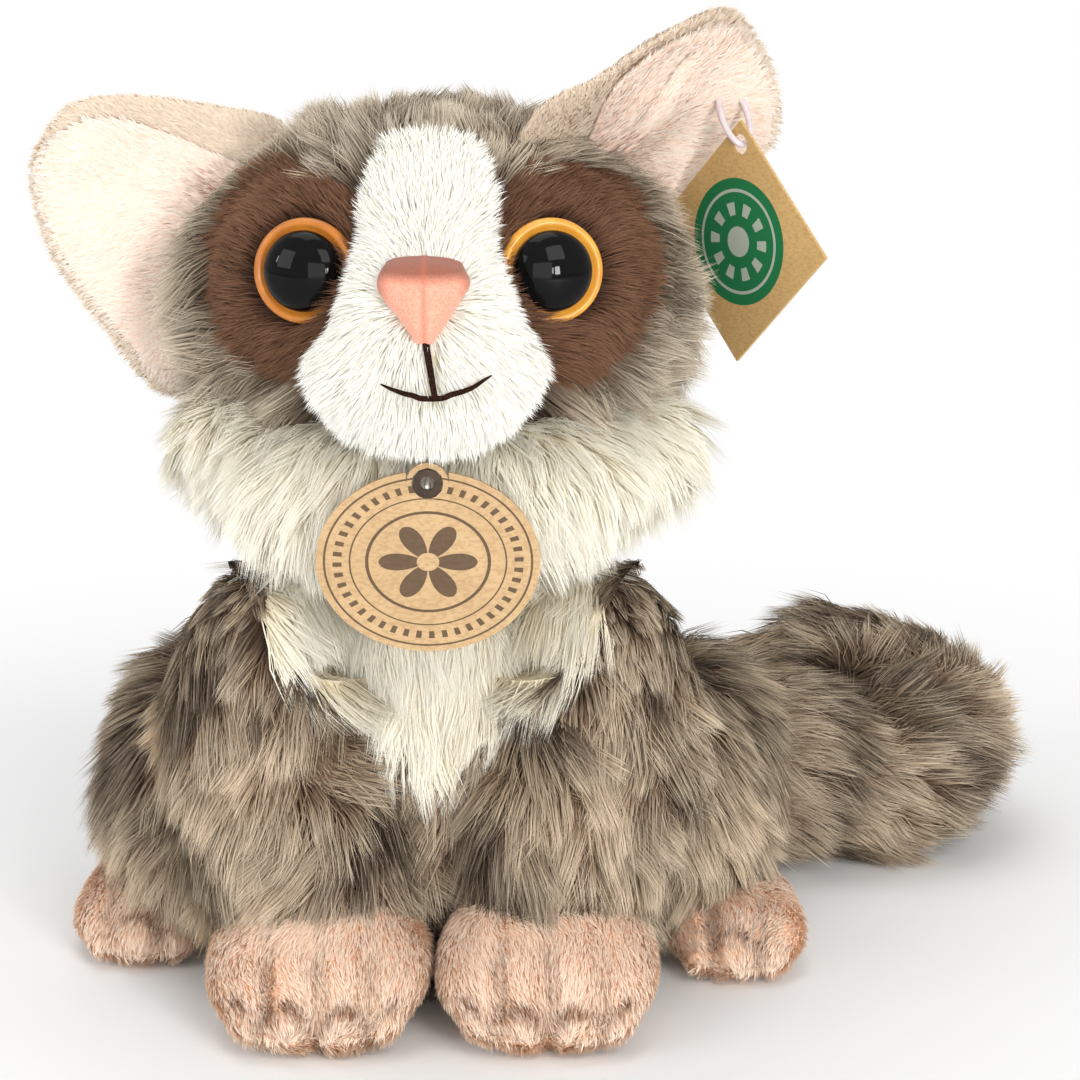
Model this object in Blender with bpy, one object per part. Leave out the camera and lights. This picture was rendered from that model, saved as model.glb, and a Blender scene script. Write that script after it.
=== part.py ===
"""A seated plush animal: fur covers over fibre filling, safety eyes, cupped ears, a curled tail and two card tags.

Metres, +Z up. The animal faces -Y, its own left is +X, and the origin is the middle of the flat seat.
Each cover's outer surface is the mean surface of its pile.
"""

import math
from functools import partial

import bmesh
import bpy
from mathutils import Matrix, Vector
from mathutils.bvhtree import BVHTree

# Fits
GAP = 0.0003  # play between pieces that touch
FILLING_PLAY = 0.0006  # between a filling and the cover round it
EAR_PLAY = 0.0008  # between an ear's root and the head, so that the ear can fold
LIMB_PLAY = 0.0018  # between the body and a limb that swings beside it
FLOOR_CUT = 0.0005  # depth of the flat where a form rests on the floor
PILE_WALL = 0.003  # fabric backing and packed pile, as one wall

# Torso
TORSO_HALF_WIDTH = 0.044
TORSO_HALF_DEPTH = 0.034
TORSO_HEIGHT = 0.098
NECK_LEAN = 0.006  # how far the neck stands forward of the seat's middle
NECK_RADIUS = 0.012
NECK_PLUG_LENGTH = 0.020
NECK_FACETS = 32
PELLET_LEVEL = 0.020
BIB_HALF_WIDTH = 0.0280
BIB_LENGTH = 0.052  # from the torso's top to its point
BIB_BEND = 0.70  # share of the length from its point up to its straight sides
# share of the height, of the half width and of the half depth
TORSO_PROFILE = (
    (0.00, 0.74, 0.72),
    (0.05, 0.92, 0.90),
    (0.22, 1.00, 1.00),
    (0.46, 0.93, 0.95),
    (0.66, 0.74, 0.84),
    (0.82, 0.55, 0.66),
    (0.93, 0.36, 0.44),
)

# Head
HEAD_HALF_WIDTH = 0.047
HEAD_HALF_DEPTH = 0.040
HEAD_HALF_HEIGHT = 0.037  # also the radius of the ball end that turns in the neck seat
HEAD_SINK = 0.011  # how deep the head sits in the top of the torso
SEAT_CONE = math.radians(36)  # the head is a true ball this far round its lowest point
BLEND_CONE = math.radians(58)
HEAD_CENTRE = Vector((0, -NECK_LEAN, TORSO_HEIGHT - HEAD_SINK + HEAD_HALF_HEIGHT))

# Face
EYE_RADIUS = 0.009
EYE_BODY_THICKNESS = 0.0026
PUPIL_RADIUS = 0.0073
PUPIL_RISE = 0.0034
SHANK_RADIUS = 0.0020
SHANK_LENGTH = 0.0070
WASHER_RADIUS = 0.0060
WASHER_THICKNESS = 0.0010
WASHER_DEPTH = 0.0048  # behind the eye's back, past the fabric
EYE_SPACING = 0.042
EYE_FACING = Vector((0.24, -0.95, 0.14))  # out, forward and up
EYE_SUNK = 0.9  # share of its body set into the pile
EYE_RAISE = 0.0115  # above the head's middle
PATCH_HALF_WIDTH = 0.0150
PATCH_HALF_HEIGHT = 0.0180
PATCH_OUT = 0.0025  # from the eye's middle
PATCH_DROP = 0.0010
MUZZLE_HALF_WIDTH = 0.0205
MUZZLE_REACH = 0.0165  # how far its front stands out of the head
BLAZE_HALF_WIDTH = 0.0120
# shares: of the head's half height up, of the reach out of the head, of the half width, of the reach thick
BLAZE_PROFILE = ((0.82, -0.121, 0.80, 0.24), (0.62, -0.061, 1.00, 0.32), (0.42, 0.10, 0.98, 0.45))
MUZZLE_PROFILE = ((0.20, 0.30, 0.74, 0.66), (-0.06, 0.26, 1.00, 0.76), (-0.25, 0.12, 0.84, 0.68))
NOSE_HALF_WIDTH = 0.0076
NOSE_HEIGHT = 0.0115
NOSE_HALF_DEPTH = 0.0030
NOSE_PROFILE = ((0.02, 0.78, 0.8), (0.30, 1.0, 1.0), (0.62, 0.66, 0.9), (0.94, 0.26, 0.6))  # shares: down, wide, deep
NOSE_TIP = 0.10  # share of the head's half height, above its middle
THREAD_RADIUS = 0.0005
MOUTH_START = 0.0008  # below the nose's tip
SMILE_PLAY = 0.0009  # between the two threads
SMILE_RISE = 0.0026  # of its corners
MOUTH_DROP = 0.0075  # from the nose's tip to the smile
SMILE_HALF_WIDTH = 0.0095
RUFF_RADIUS = 0.0135
RUFF_SINK = 0.1  # share of the radius that its middle line stands out of the head
RUFF_SPREAD = math.radians(72)  # to each side of the front
# share of the spread, degrees below level and share of the radius
RUFF_PROFILE = ((0.0, 40, 0.94), (0.25, 41, 1.0), (0.5, 42, 1.04), (0.75, 38, 0.96), (1.0, 27, 0.68))

# Ears
EAR_LENGTH = 0.043
EAR_HALF_WIDTH = 0.0255
EAR_PANEL = 0.00155
EAR_CUP = 0.0070  # how far the edges come forward of the middle
EAR_CUP_MIDDLE = 0.35  # share of it that lies behind the ear's own plane
EAR_SHOULDER = 0.55  # share of the length where the ear is widest
EAR_ROOT_WIDTH = 0.80  # share of the full width

# Forelegs and paws
SHOULDER_RADIUS = 0.0155
SHOULDER_SPREAD = 0.0335
SHOULDER_DROP = 0.0310  # from the torso's top
SHOULDER_FORWARD = 0.0240
FORELEG_HALF_WIDTH = 0.0210
FORELEG_HALF_DEPTH = 0.0180
# share of the way up from the paw to the shoulder and out from the other leg to it, how far ahead of
# it, and shares of the half width and half depth
FORELEG_PROFILE = ((0.51, 0.64, 0.0020, 0.93, 0.97), (0.18, 0.24, 0.0048, 1.00, 1.00), (0.0, 0.12, 0.0070, 0.94, 0.92))
PAW_HALF_WIDTH = 0.0200
PAW_HEIGHT = 0.0260
PAW_LENGTH = 0.0450
PAW_FORWARD = 0.0606  # the toes' front, ahead of the seat's middle
# shares: of the length from the toes back, of the half width and of the height
PAW_PROFILE = ((0.11, 0.80, 0.52), (0.27, 0.98, 0.80), (0.50, 1.00, 1.00), (0.72, 0.86, 1.00), (0.90, 0.62, 0.86))
WRIST = 0.62  # share of the paw's height where the sleeve ends

# Hind legs and feet
THIGH_HALF_WIDTH = 0.0205
THIGH_HALF_LENGTH = 0.0330
THIGH_HEIGHT = 0.0560
THIGH_SPREAD = 0.0445
THIGH_BACK = 0.0110
FOOT_HALF_WIDTH = 0.0135
FOOT_HEIGHT = 0.0160
FOOT_LENGTH = 0.0420
FOOT_SPREAD = 0.0550
FOOT_FORWARD = {"right": 0.0180, "left": 0.0260}
FOOT_PROFILE = ((0.10, 0.78, 0.62), (0.28, 1.00, 0.90), (0.62, 0.94, 1.00), (0.90, 0.70, 0.90))

# Tail
TAIL_ROOT_RADIUS = 0.0150
TAIL_RADIUS = 0.0205
TAIL_CURL_RADIUS = 0.0165  # of the tube along the curl
TAIL_BEND = 0.0185  # of the curl's middle line
TAIL_RUN = 0.0640  # sideways from the root to where the curl begins
TAIL_BACK = 0.0475
TAIL_TIP_LIFT = 0.0090
TAIL_RUMP_LIFT = 0.0030  # where it comes down from the rump
TAIL_CURL_LIFT = 0.0015  # where the curl begins
TAIL_TIP_REACH = 0.0100  # past the curl
TAIL_ROOT = Vector((0.0160, 0.0300, 0.0260))

# Tags
TAG_HALF_WIDTH = 0.0190
TAG_HALF_HEIGHT = 0.0158
TAG_TAB_RADIUS = 0.0036
TAG_TAB_REACH = 0.0022  # the eyelet's middle, inside the oval's edge
TAG_PLAY = 0.0018  # between the card and the ruff, so that it swings
TAG_RAISE = 0.0029  # of the eyelet above the ruff's middle line
CARD_THICKNESS = 0.0006
EYELET_RADIUS = 0.0024
EYELET_HOLE = 0.00125
EYELET_LIP = 0.00005  # how far it stands out of the card
PIN_RADIUS = 0.0003
PIN_LENGTH = 0.0070
EAR_CARD_SIDE = 0.0310
EAR_CARD_HOLE = 0.0019
EAR_CARD_RIM = 0.0024  # from the hole up to the corner
EAR_CARD_YAW = math.radians(49)
LOOP_IN_EAR = (0.70, -0.48)  # share of the ear's length, and how far across it
LOOP_DROP = Vector((0.0020, -0.0100, -0.0090))  # from the ear to the card's hole
LOOP_HALF_WIDTH = 0.0030
LOOP_WIRE = 0.0006

SIDES = {"right": -1, "left": 1}
FACING = Vector((0, -1, 0))
UP = Vector((0, 0, 1))
BACK = Vector((0, 1, 0))

COLOURS = {
    "grey_fur": ((0.20, 0.16, 0.11), 0.95, 0.0),
    "cream_fur": ((0.84, 0.79, 0.66), 0.95, 0.0),
    "brown_plush": ((0.10, 0.05, 0.03), 0.95, 0.0),
    "white_plush": ((0.88, 0.86, 0.80), 0.95, 0.0),
    "peach_plush": ((0.82, 0.56, 0.36), 0.95, 0.0),
    "ear_inner": ((0.86, 0.69, 0.56), 0.95, 0.0),
    "ear_outer": ((0.60, 0.46, 0.33), 0.95, 0.0),
    "nose_plush": ((0.83, 0.40, 0.28), 0.80, 0.0),
    "brown_thread": ((0.06, 0.03, 0.02), 0.70, 0.0),
    "amber_plastic": ((0.60, 0.22, 0.04), 0.15, 0.0),
    "black_plastic": ((0.005, 0.005, 0.006), 0.05, 0.0),
    "washer_plastic": ((0.75, 0.75, 0.72), 0.40, 0.0),
    "fibre": ((0.90, 0.90, 0.88), 1.0, 0.0),
    "pellet_bag": ((0.80, 0.80, 0.78), 0.9, 0.0),
    "kraft_card": ((0.56, 0.37, 0.20), 0.85, 0.0),
    "dark_eyelet": ((0.06, 0.045, 0.03), 0.45, 0.0),
    "loop_plastic": ((0.78, 0.68, 0.70), 0.30, 0.0),
}


def clear_scene():
    for old in list(bpy.data.objects):
        bpy.data.objects.remove(old, do_unlink=True)


def material(name):
    """The Principled material of this name, made once."""
    if name in bpy.data.materials:
        return bpy.data.materials[name]
    colour, roughness, metallic = COLOURS[name]
    made = bpy.data.materials.new(name)
    made.use_nodes = True
    shader = made.node_tree.nodes["Principled BSDF"]
    shader.inputs["Base Color"].default_value = (*colour, 1)
    shader.inputs["Roughness"].default_value = roughness
    shader.inputs["Metallic"].default_value = metallic
    return made


def empty(name, place):
    """A joint's place, which the moving pieces hang from."""
    made = bpy.data.objects.new(name, None)
    made.empty_display_size = 0.01
    made.location = place
    bpy.context.scene.collection.objects.link(made)
    return made


def node(name, form, finish, joint=None):
    """A visible piece made of this bmesh, hung from its joint's empty."""
    mesh = bpy.data.meshes.new(name)
    form.to_mesh(mesh)
    form.free()
    mesh.shade_smooth()
    mesh.set_sharp_from_angle(angle=math.radians(40))
    mesh.materials.append(material(finish))
    made = bpy.data.objects.new(name, mesh)
    bpy.context.scene.collection.objects.link(made)
    if joint:
        mesh.transform(Matrix.Translation(-joint.location))
        made.parent = joint
    return made


def cutter(name, form):
    """A hidden tool for Booleans."""
    made = node("cut_" + name, form, "fibre")
    made.hide_render = True
    made.display_type = "WIRE"
    return made


def boolean(piece, tool, operation="DIFFERENCE"):
    step = piece.modifiers.new(operation.lower() + "_" + tool.name, "BOOLEAN")
    step.operation = operation
    step.solver = "EXACT"
    step.object = tool
    return piece


def cut(piece, *tools):
    for tool in tools:
        boolean(piece, tool)
    return piece


def grown(form, by):
    """The same form with its surface moved out by this much, or in where it is negative."""
    bmesh.ops.recalc_face_normals(form, faces=form.faces)
    form.normal_update()
    moves = [vertex.normal * by for vertex in form.verts]
    for vertex, move in zip(form.verts, moves):
        vertex.co += move
    return form


def facets(grow, outside, inside):
    """Fewer facets on the surfaces inside a cover."""
    return inside if grow < -GAP else outside


def loft(stations, up, segments=14, ends=(0.8, 0.8), grow=0.0):
    """A closed form through elliptical rings. A station is (middle, half width, half height).

    The ends are rounded by a share of the end ring's size, and grow moves the whole surface out or in.
    """
    segments = facets(grow, segments, max(8, segments // 4 * 3))
    middles = [Vector(station[0]) for station in stations]
    last = len(stations) - 1
    form = bmesh.new()

    def ring(middle, side, rise, wide, high):
        angles = [2 * math.pi * k / segments for k in range(segments)]
        return [form.verts.new(middle + side * wide * math.cos(a) + rise * high * math.sin(a)) for a in angles]

    def end_of(row, sign, rounding):
        middle, side, rise, wide, high, along = row
        reach = rounding * min(wide, high)
        rounded = []
        for a in (math.radians(62), math.radians(32)):
            place = middle + sign * along * reach * math.sin(a)
            rounded.append(ring(place, side, rise, wide * math.cos(a), high * math.cos(a)))
        return form.verts.new(middle + sign * along * reach), rounded

    body = []
    for i, (middle, (_, wide, high)) in enumerate(zip(middles, stations)):
        along = (middles[min(i + 1, last)] - middles[max(i - 1, 0)]).normalized()
        side = up.cross(along).normalized()
        if i in (0, last):
            middle = middle + along * (1 if i else -1) * (1 - ends[bool(i)]) * grow
        body.append((middle, side, along.cross(side), max(GAP, wide + grow), max(GAP, high + grow), along))
    first_pole, first_rings = end_of(body[0], -1, ends[0])
    last_pole, last_rings = end_of(body[-1], 1, ends[1])
    rows = first_rings + [ring(*row[:5]) for row in body] + last_rings[::-1]
    for lower, upper in zip(rows, rows[1:]):
        for k in range(segments):
            j = (k + 1) % segments
            form.faces.new((lower[k], lower[j], upper[j], upper[k]))
    for k in range(segments):
        j = (k + 1) % segments
        form.faces.new((first_pole, rows[0][j], rows[0][k]))
        form.faces.new((last_pole, rows[-1][k], rows[-1][j]))
    bmesh.ops.recalc_face_normals(form, faces=form.faces)
    return form


def ball(middle, radii, grow=0.0, segments=14, rings=8):
    """An ellipsoid."""
    form = bmesh.new()
    segments, rings = facets(grow, segments, 10), facets(grow, rings, 7)
    bmesh.ops.create_uvsphere(form, u_segments=segments, v_segments=rings, radius=1)
    for vertex in form.verts:
        vertex.co = Vector(middle) + Vector([c * (r + grow) for c, r in zip(vertex.co, radii)])
    return form


def rod(start, end, radius, segments=12):
    """A cylinder from one point to another."""
    start, end = Vector(start), Vector(end)
    form = bmesh.new()
    turn = (end - start).to_track_quat("Z", "Y").to_matrix().to_4x4()
    bmesh.ops.create_cone(
        form,
        cap_ends=True,
        segments=segments,
        radius1=radius,
        radius2=radius,
        depth=(end - start).length,
        matrix=Matrix.Translation((start + end) / 2) @ turn,
    )
    return form


def block(low, high):
    form = bmesh.new()
    bmesh.ops.create_cube(form, size=1)
    low, high = Vector(low), Vector(high)
    for vertex in form.verts:
        share = vertex.co + Vector((0.5, 0.5, 0.5))
        vertex.co = low + Vector([s * (h - l) for s, l, h in zip(share, low, high)])
    return form


def prism(outline, depth):
    """An outline of 3-D points in one plane, pushed along a vector."""
    form = bmesh.new()
    face = form.faces.new([form.verts.new(point) for point in outline])
    pushed = bmesh.ops.extrude_face_region(form, geom=[face])["geom"]
    for item in pushed:
        if isinstance(item, bmesh.types.BMVert):
            item.co += Vector(depth)
    bmesh.ops.recalc_face_normals(form, faces=form.faces)
    return form


def loop_form(middle, long, short, wire, turns=20, sides=6):
    """A closed oval loop of wire, from its two half axes."""
    form = bmesh.new()
    axis = long.cross(short).normalized()
    rows = []
    for t in range(turns):
        a = 2 * math.pi * t / turns
        place = middle + long * math.cos(a) + short * math.sin(a)
        along = (short * math.cos(a) - long * math.sin(a)).normalized()
        out = along.cross(axis)
        angles = [2 * math.pi * k / sides for k in range(sides)]
        rows.append([form.verts.new(place + (out * math.cos(b) + axis * math.sin(b)) * wire) for b in angles])
    for t in range(turns):
        for k in range(sides):
            n, m = (t + 1) % turns, (k + 1) % sides
            form.faces.new((rows[t][k], rows[n][k], rows[n][m], rows[t][m]))
    bmesh.ops.recalc_face_normals(form, faces=form.faces)
    return form


def thread(name, points, finish, joint):
    """A tube along a line of points, laid on a surface."""
    curve = bpy.data.curves.new(name, "CURVE")
    curve.dimensions = "3D"
    curve.bevel_depth = THREAD_RADIUS
    curve.bevel_resolution = 1
    curve.use_fill_caps = True
    spline = curve.splines.new("POLY")
    spline.points.add(len(points) - 1)
    for place, point in zip(spline.points, points):
        place.co = (*(point - joint.location), 1)
    curve.materials.append(material(finish))
    made = bpy.data.objects.new(name, curve)
    made.parent = joint
    bpy.context.scene.collection.objects.link(made)
    return made


def torso_form(grow=0.0):
    stations = []
    for height, wide, deep in TORSO_PROFILE:
        middle = (0, -NECK_LEAN * height, TORSO_HEIGHT * height - FLOOR_CUT * (1 - height))
        stations.append((middle, TORSO_HALF_WIDTH * wide, TORSO_HALF_DEPTH * deep))
    return loft(stations, BACK, segments=20, ends=(0.02, 0.3), grow=grow)


def head_reach(direction):
    """The head's radius this way: an ellipsoid with a ball end underneath, where it turns in its seat."""
    x, y, z = direction
    oval = 1 / math.sqrt((x / HEAD_HALF_WIDTH) ** 2 + (y / HEAD_HALF_DEPTH) ** 2 + (z / HEAD_HALF_HEIGHT) ** 2)
    lean = math.acos(max(-1.0, min(1.0, -z)))
    share = max(0.0, min(1.0, (lean - SEAT_CONE) / (BLEND_CONE - SEAT_CONE)))
    share = share * share * (3 - 2 * share)
    return HEAD_HALF_HEIGHT * (1 - share) + oval * share


def head_form(grow=0.0):
    form = bmesh.new()
    bmesh.ops.create_uvsphere(form, u_segments=facets(grow, 22, 14), v_segments=facets(grow, 13, 9), radius=1)
    for vertex in form.verts:
        direction = vertex.co.normalized()
        vertex.co = HEAD_CENTRE + direction * head_reach(direction)
    return grown(form, grow)


def on_head(x, z, out=0.0):
    """The point of the head's front at this x and height above its middle, moved out along the view."""
    inside = 1 - (x / HEAD_HALF_WIDTH) ** 2 - (z / HEAD_HALF_HEIGHT) ** 2
    return HEAD_CENTRE + Vector((x, -HEAD_HALF_DEPTH * math.sqrt(max(0.0, inside)) - out, z))


def muzzle_form(grow=0.0, first=0):
    """The blaze runs down the forehead into the muzzle, which swells and rounds under to the chin.

    Its filling starts lower, at a later station, where the blaze is thick enough to be stuffed.
    """
    stations = []
    for half_widths, profile in ((BLAZE_HALF_WIDTH, BLAZE_PROFILE), (MUZZLE_HALF_WIDTH, MUZZLE_PROFILE)):
        for up, out, wide, thick in profile:
            middle = on_head(0, up * HEAD_HALF_HEIGHT, out * MUZZLE_REACH)
            stations.append((middle, wide * half_widths, thick * MUZZLE_REACH))
    return loft(stations[first:], BACK, segments=14, ends=(0.7, 0.7), grow=grow)


def ruff_middle(share, dip, size):
    """A point of the ruff's middle line, at this share of its spread."""
    turn, dip = RUFF_SPREAD * share, math.radians(-dip)
    way = Vector((math.sin(turn) * math.cos(dip), -math.cos(turn) * math.cos(dip), math.sin(dip)))
    return HEAD_CENTRE + way * (head_reach(way) + RUFF_SINK * size * RUFF_RADIUS)


def ruff_form(grow=0.0):
    """The thick cream pile that hangs round the lower face from cheek to cheek."""
    both = [(-share, dip, size) for share, dip, size in RUFF_PROFILE[:0:-1]] + list(RUFF_PROFILE)
    stations = [(ruff_middle(*row), row[2] * RUFF_RADIUS, row[2] * RUFF_RADIUS) for row in both]
    return loft(stations, UP, segments=12, grow=grow)


def shoulder(sign):
    return Vector((sign * SHOULDER_SPREAD, -SHOULDER_FORWARD, TORSO_HEIGHT - SHOULDER_DROP))


def foreleg_form(sign, grow=0.0):
    """From a ball at the shoulder down to the wrist, leaning in to the middle."""
    top = shoulder(sign)
    inner = GAP / 2 + FORELEG_HALF_WIDTH
    stations = [(top, SHOULDER_RADIUS, SHOULDER_RADIUS)]
    for up, out, ahead, wide, deep in FORELEG_PROFILE:
        x = inner + out * (SHOULDER_SPREAD - inner)
        z = PAW_HEIGHT + up * (top.z - PAW_HEIGHT)
        stations.append((Vector((sign * x, top.y - ahead, z)), wide * FORELEG_HALF_WIDTH, deep * FORELEG_HALF_DEPTH))
    return loft(stations, BACK, segments=14, ends=(1.0, 1.0), grow=grow)


def paw_form(sign, grow=0.0):
    front = -PAW_FORWARD
    middle = sign * (GAP / 2 + PAW_HALF_WIDTH)
    stations = []
    for back, wide, high in PAW_PROFILE:
        rise = high * PAW_HEIGHT / 2
        stations.append(((middle, front + back * PAW_LENGTH, rise - FLOOR_CUT), wide * PAW_HALF_WIDTH, rise))
    return loft(stations[::-1], UP, segments=14, grow=grow)


def thigh_form(sign, grow=0.0):
    half = THIGH_HEIGHT / 2
    radii = (THIGH_HALF_WIDTH, THIGH_HALF_LENGTH, half + FLOOR_CUT / 2)
    return ball((sign * THIGH_SPREAD, THIGH_BACK, half - FLOOR_CUT / 2), radii, grow)


def foot_form(side, grow=0.0):
    sign = SIDES[side]
    front = -FOOT_FORWARD[side]
    stations = []
    for back, wide, high in FOOT_PROFILE:
        rise = high * FOOT_HEIGHT / 2
        middle = (sign * FOOT_SPREAD, front + back * FOOT_LENGTH, rise - FLOOR_CUT)
        stations.append((middle, wide * FOOT_HALF_WIDTH, rise))
    return loft(stations[::-1], UP, segments=12, grow=grow)


def tail_form(grow=0.0):
    """From a ball at the rump it runs sideways along the floor, curls back on itself and lifts its tip."""
    root = TAIL_ROOT
    run_end = root.x + TAIL_RUN
    rest = TAIL_RADIUS - FLOOR_CUT
    stations = [
        (root, TAIL_ROOT_RADIUS, TAIL_ROOT_RADIUS),
        (
            Vector((root.x + 0.22 * TAIL_RUN, (root.y + 2 * TAIL_BACK) / 3, rest + TAIL_RUMP_LIFT)),
            0.86 * TAIL_RADIUS,
            0.86 * TAIL_RADIUS,
        ),
        (Vector((root.x + 0.50 * TAIL_RUN, TAIL_BACK, rest)), TAIL_RADIUS, TAIL_RADIUS),
        (Vector((root.x + 0.78 * TAIL_RUN, TAIL_BACK, rest - 0.0005)), 0.97 * TAIL_RADIUS, 0.97 * TAIL_RADIUS),
    ]
    hub = Vector((run_end, TAIL_BACK + TAIL_BEND, 0))
    low = TAIL_CURL_RADIUS - FLOOR_CUT
    for i in range(6):
        share = i / 5
        turn = math.pi * share
        place = hub + Vector((math.sin(turn), -math.cos(turn), 0)) * TAIL_BEND
        place.z = low + TAIL_CURL_LIFT + TAIL_TIP_LIFT * share
        size = TAIL_CURL_RADIUS * (1.04 - 0.08 * share)
        stations.append((place, size, size))
    tip = hub + Vector((-TAIL_TIP_REACH, TAIL_BEND, low + TAIL_CURL_LIFT + TAIL_TIP_LIFT))
    stations.append((tip, 0.72 * TAIL_CURL_RADIUS, 0.72 * TAIL_CURL_RADIUS))
    return loft(stations, UP, segments=14, ends=(1.0, 1.0), grow=grow)


def eye_frame(sign):
    """The middle of the eye's back, and the way it faces."""
    facing = Vector((sign * EYE_FACING.x, EYE_FACING.y, EYE_FACING.z)).normalized()
    return on_head(sign * EYE_SPACING / 2, EYE_RAISE) - facing * EYE_BODY_THICKNESS * EYE_SUNK, facing


def turned(profile, middle, axis, segments=16):
    """A profile of (radius, height) points spun about an axis; it starts and ends on the axis."""
    form = bmesh.new()
    verts = [form.verts.new((r, 0, h)) for r, h in profile]
    edges = [form.edges.new(pair) for pair in zip(verts, verts[1:])]
    bmesh.ops.spin(
        form, geom=verts + edges, cent=(0, 0, 0), axis=(0, 0, 1), angle=2 * math.pi, steps=segments, use_merge=True
    )
    bmesh.ops.remove_doubles(form, verts=form.verts, dist=1e-6)
    bmesh.ops.recalc_face_normals(form, faces=form.faces)
    turn = Vector(axis).to_track_quat("Z", "Y").to_matrix().to_4x4()
    form.transform(Matrix.Translation(middle) @ turn)
    return form


EARS = {
    # root's middle from the head's middle, the way it grows, and how far its front edge is turned to the viewer
    "right": (Vector((-0.0330, 0.0080, 0.0060)), math.radians(165), math.radians(-8)),
    "left": (Vector((0.0270, 0.0080, 0.0190)), math.radians(45), math.radians(53)),
}


def ear_frame(side):
    """Root, growth, width and facing directions of an ear."""
    root, lift, turn = EARS[side]
    along = Vector((math.cos(lift), 0, math.sin(lift)))
    flat = Vector((-along.z, 0, along.x)) * SIDES[side]
    across = (flat * math.cos(turn) + FACING * math.sin(turn)).normalized()
    facing = along.cross(across).normalized()
    if facing.dot(FACING) < 0:
        facing = -facing
    return HEAD_CENTRE + root, along, across, facing


def ear_point(side, share, cross, depth=0.0):
    """A point of the ear's middle sheet: share runs from root to tip, cross from -1 to 1, depth to its front."""
    root, along, across, facing = ear_frame(side)
    swell = math.sin(min(1.0, share / EAR_SHOULDER) * math.pi / 2)
    past = max(0.0, share - EAR_SHOULDER) / (1 - EAR_SHOULDER)
    half = EAR_HALF_WIDTH * (EAR_ROOT_WIDTH + (1 - EAR_ROOT_WIDTH) * swell) * math.sqrt(1 - past * past)
    wide = cross * half
    cup = EAR_CUP * share * ((wide / EAR_HALF_WIDTH) ** 2 - EAR_CUP_MIDDLE)
    return root + along * share * EAR_LENGTH + across * wide + facing * (cup + depth)


def ear_seam(side):
    """Where the middle of the ear leaves the head: it folds about the seam there."""
    for step in range(100):
        place = ear_point(side, step / 100, 0)
        out = place - HEAD_CENTRE
        if out.length > head_reach(out.normalized()):
            break
    return place


def ear_panel(side, near, far):
    """One fabric panel of an ear, a closed sheet between two depths."""
    rows, columns = 7, 6
    form = bmesh.new()
    layers = []
    for depth in (near, far):
        grid = []
        for i in range(rows + 1):
            share = 0.985 * math.sin(math.pi / 2 * i / rows)
            crossings = [2 * j / columns - 1 for j in range(columns + 1)]
            grid.append([form.verts.new(ear_point(side, share, cross, depth)) for cross in crossings])
        layers.append(grid)
    for grid in layers:
        for i in range(rows):
            for j in range(columns):
                form.faces.new((grid[i][j], grid[i][j + 1], grid[i + 1][j + 1], grid[i + 1][j]))
    front, rear = layers
    rim = [(0, j) for j in range(columns)] + [(i, columns) for i in range(rows)]
    rim += [(rows, j) for j in range(columns, 0, -1)] + [(i, 0) for i in range(rows, 0, -1)]
    for (i, j), (k, m) in zip(rim, rim[1:] + rim[:1]):
        form.faces.new((front[i][j], front[k][m], rear[k][m], rear[i][j]))
    bmesh.ops.recalc_face_normals(form, faces=form.faces)
    return form


def floor_cutter():
    return cutter("floor", block((-0.3, -0.3, -0.05), (0.3, 0.3, 0.0)))


def cover_and_filling(name, form_of, finish, tools, fill_tools, joint=None):
    """A fur cover open where its tools cut it, and the filling inside it."""
    hollow = cutter(name + "_hollow", form_of(-PILE_WALL))
    cover = cut(node(name, form_of(0.0), finish, joint), hollow, *tools)
    filling = cut(node(name + "_filling", form_of(-PILE_WALL - FILLING_PLAY), "fibre", joint), *fill_tools)
    return cover, filling


def seat(limb, pivot, radius):
    """The hollow that a limb's ball end turns in."""
    return cutter(limb + "_seat", ball(pivot, (radius + GAP,) * 3, segments=24, rings=16))


def beside(limb, pivot, radius, neighbour, form):
    """A neighbour as a tool for a limb, less the limb's own ball end."""
    tool = cutter(f"{neighbour}_for_{limb}", form)
    return boolean(tool, cutter(f"{limb}_ball_in_{neighbour}", ball(pivot, (radius,) * 3, segments=24, rings=16)))


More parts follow.
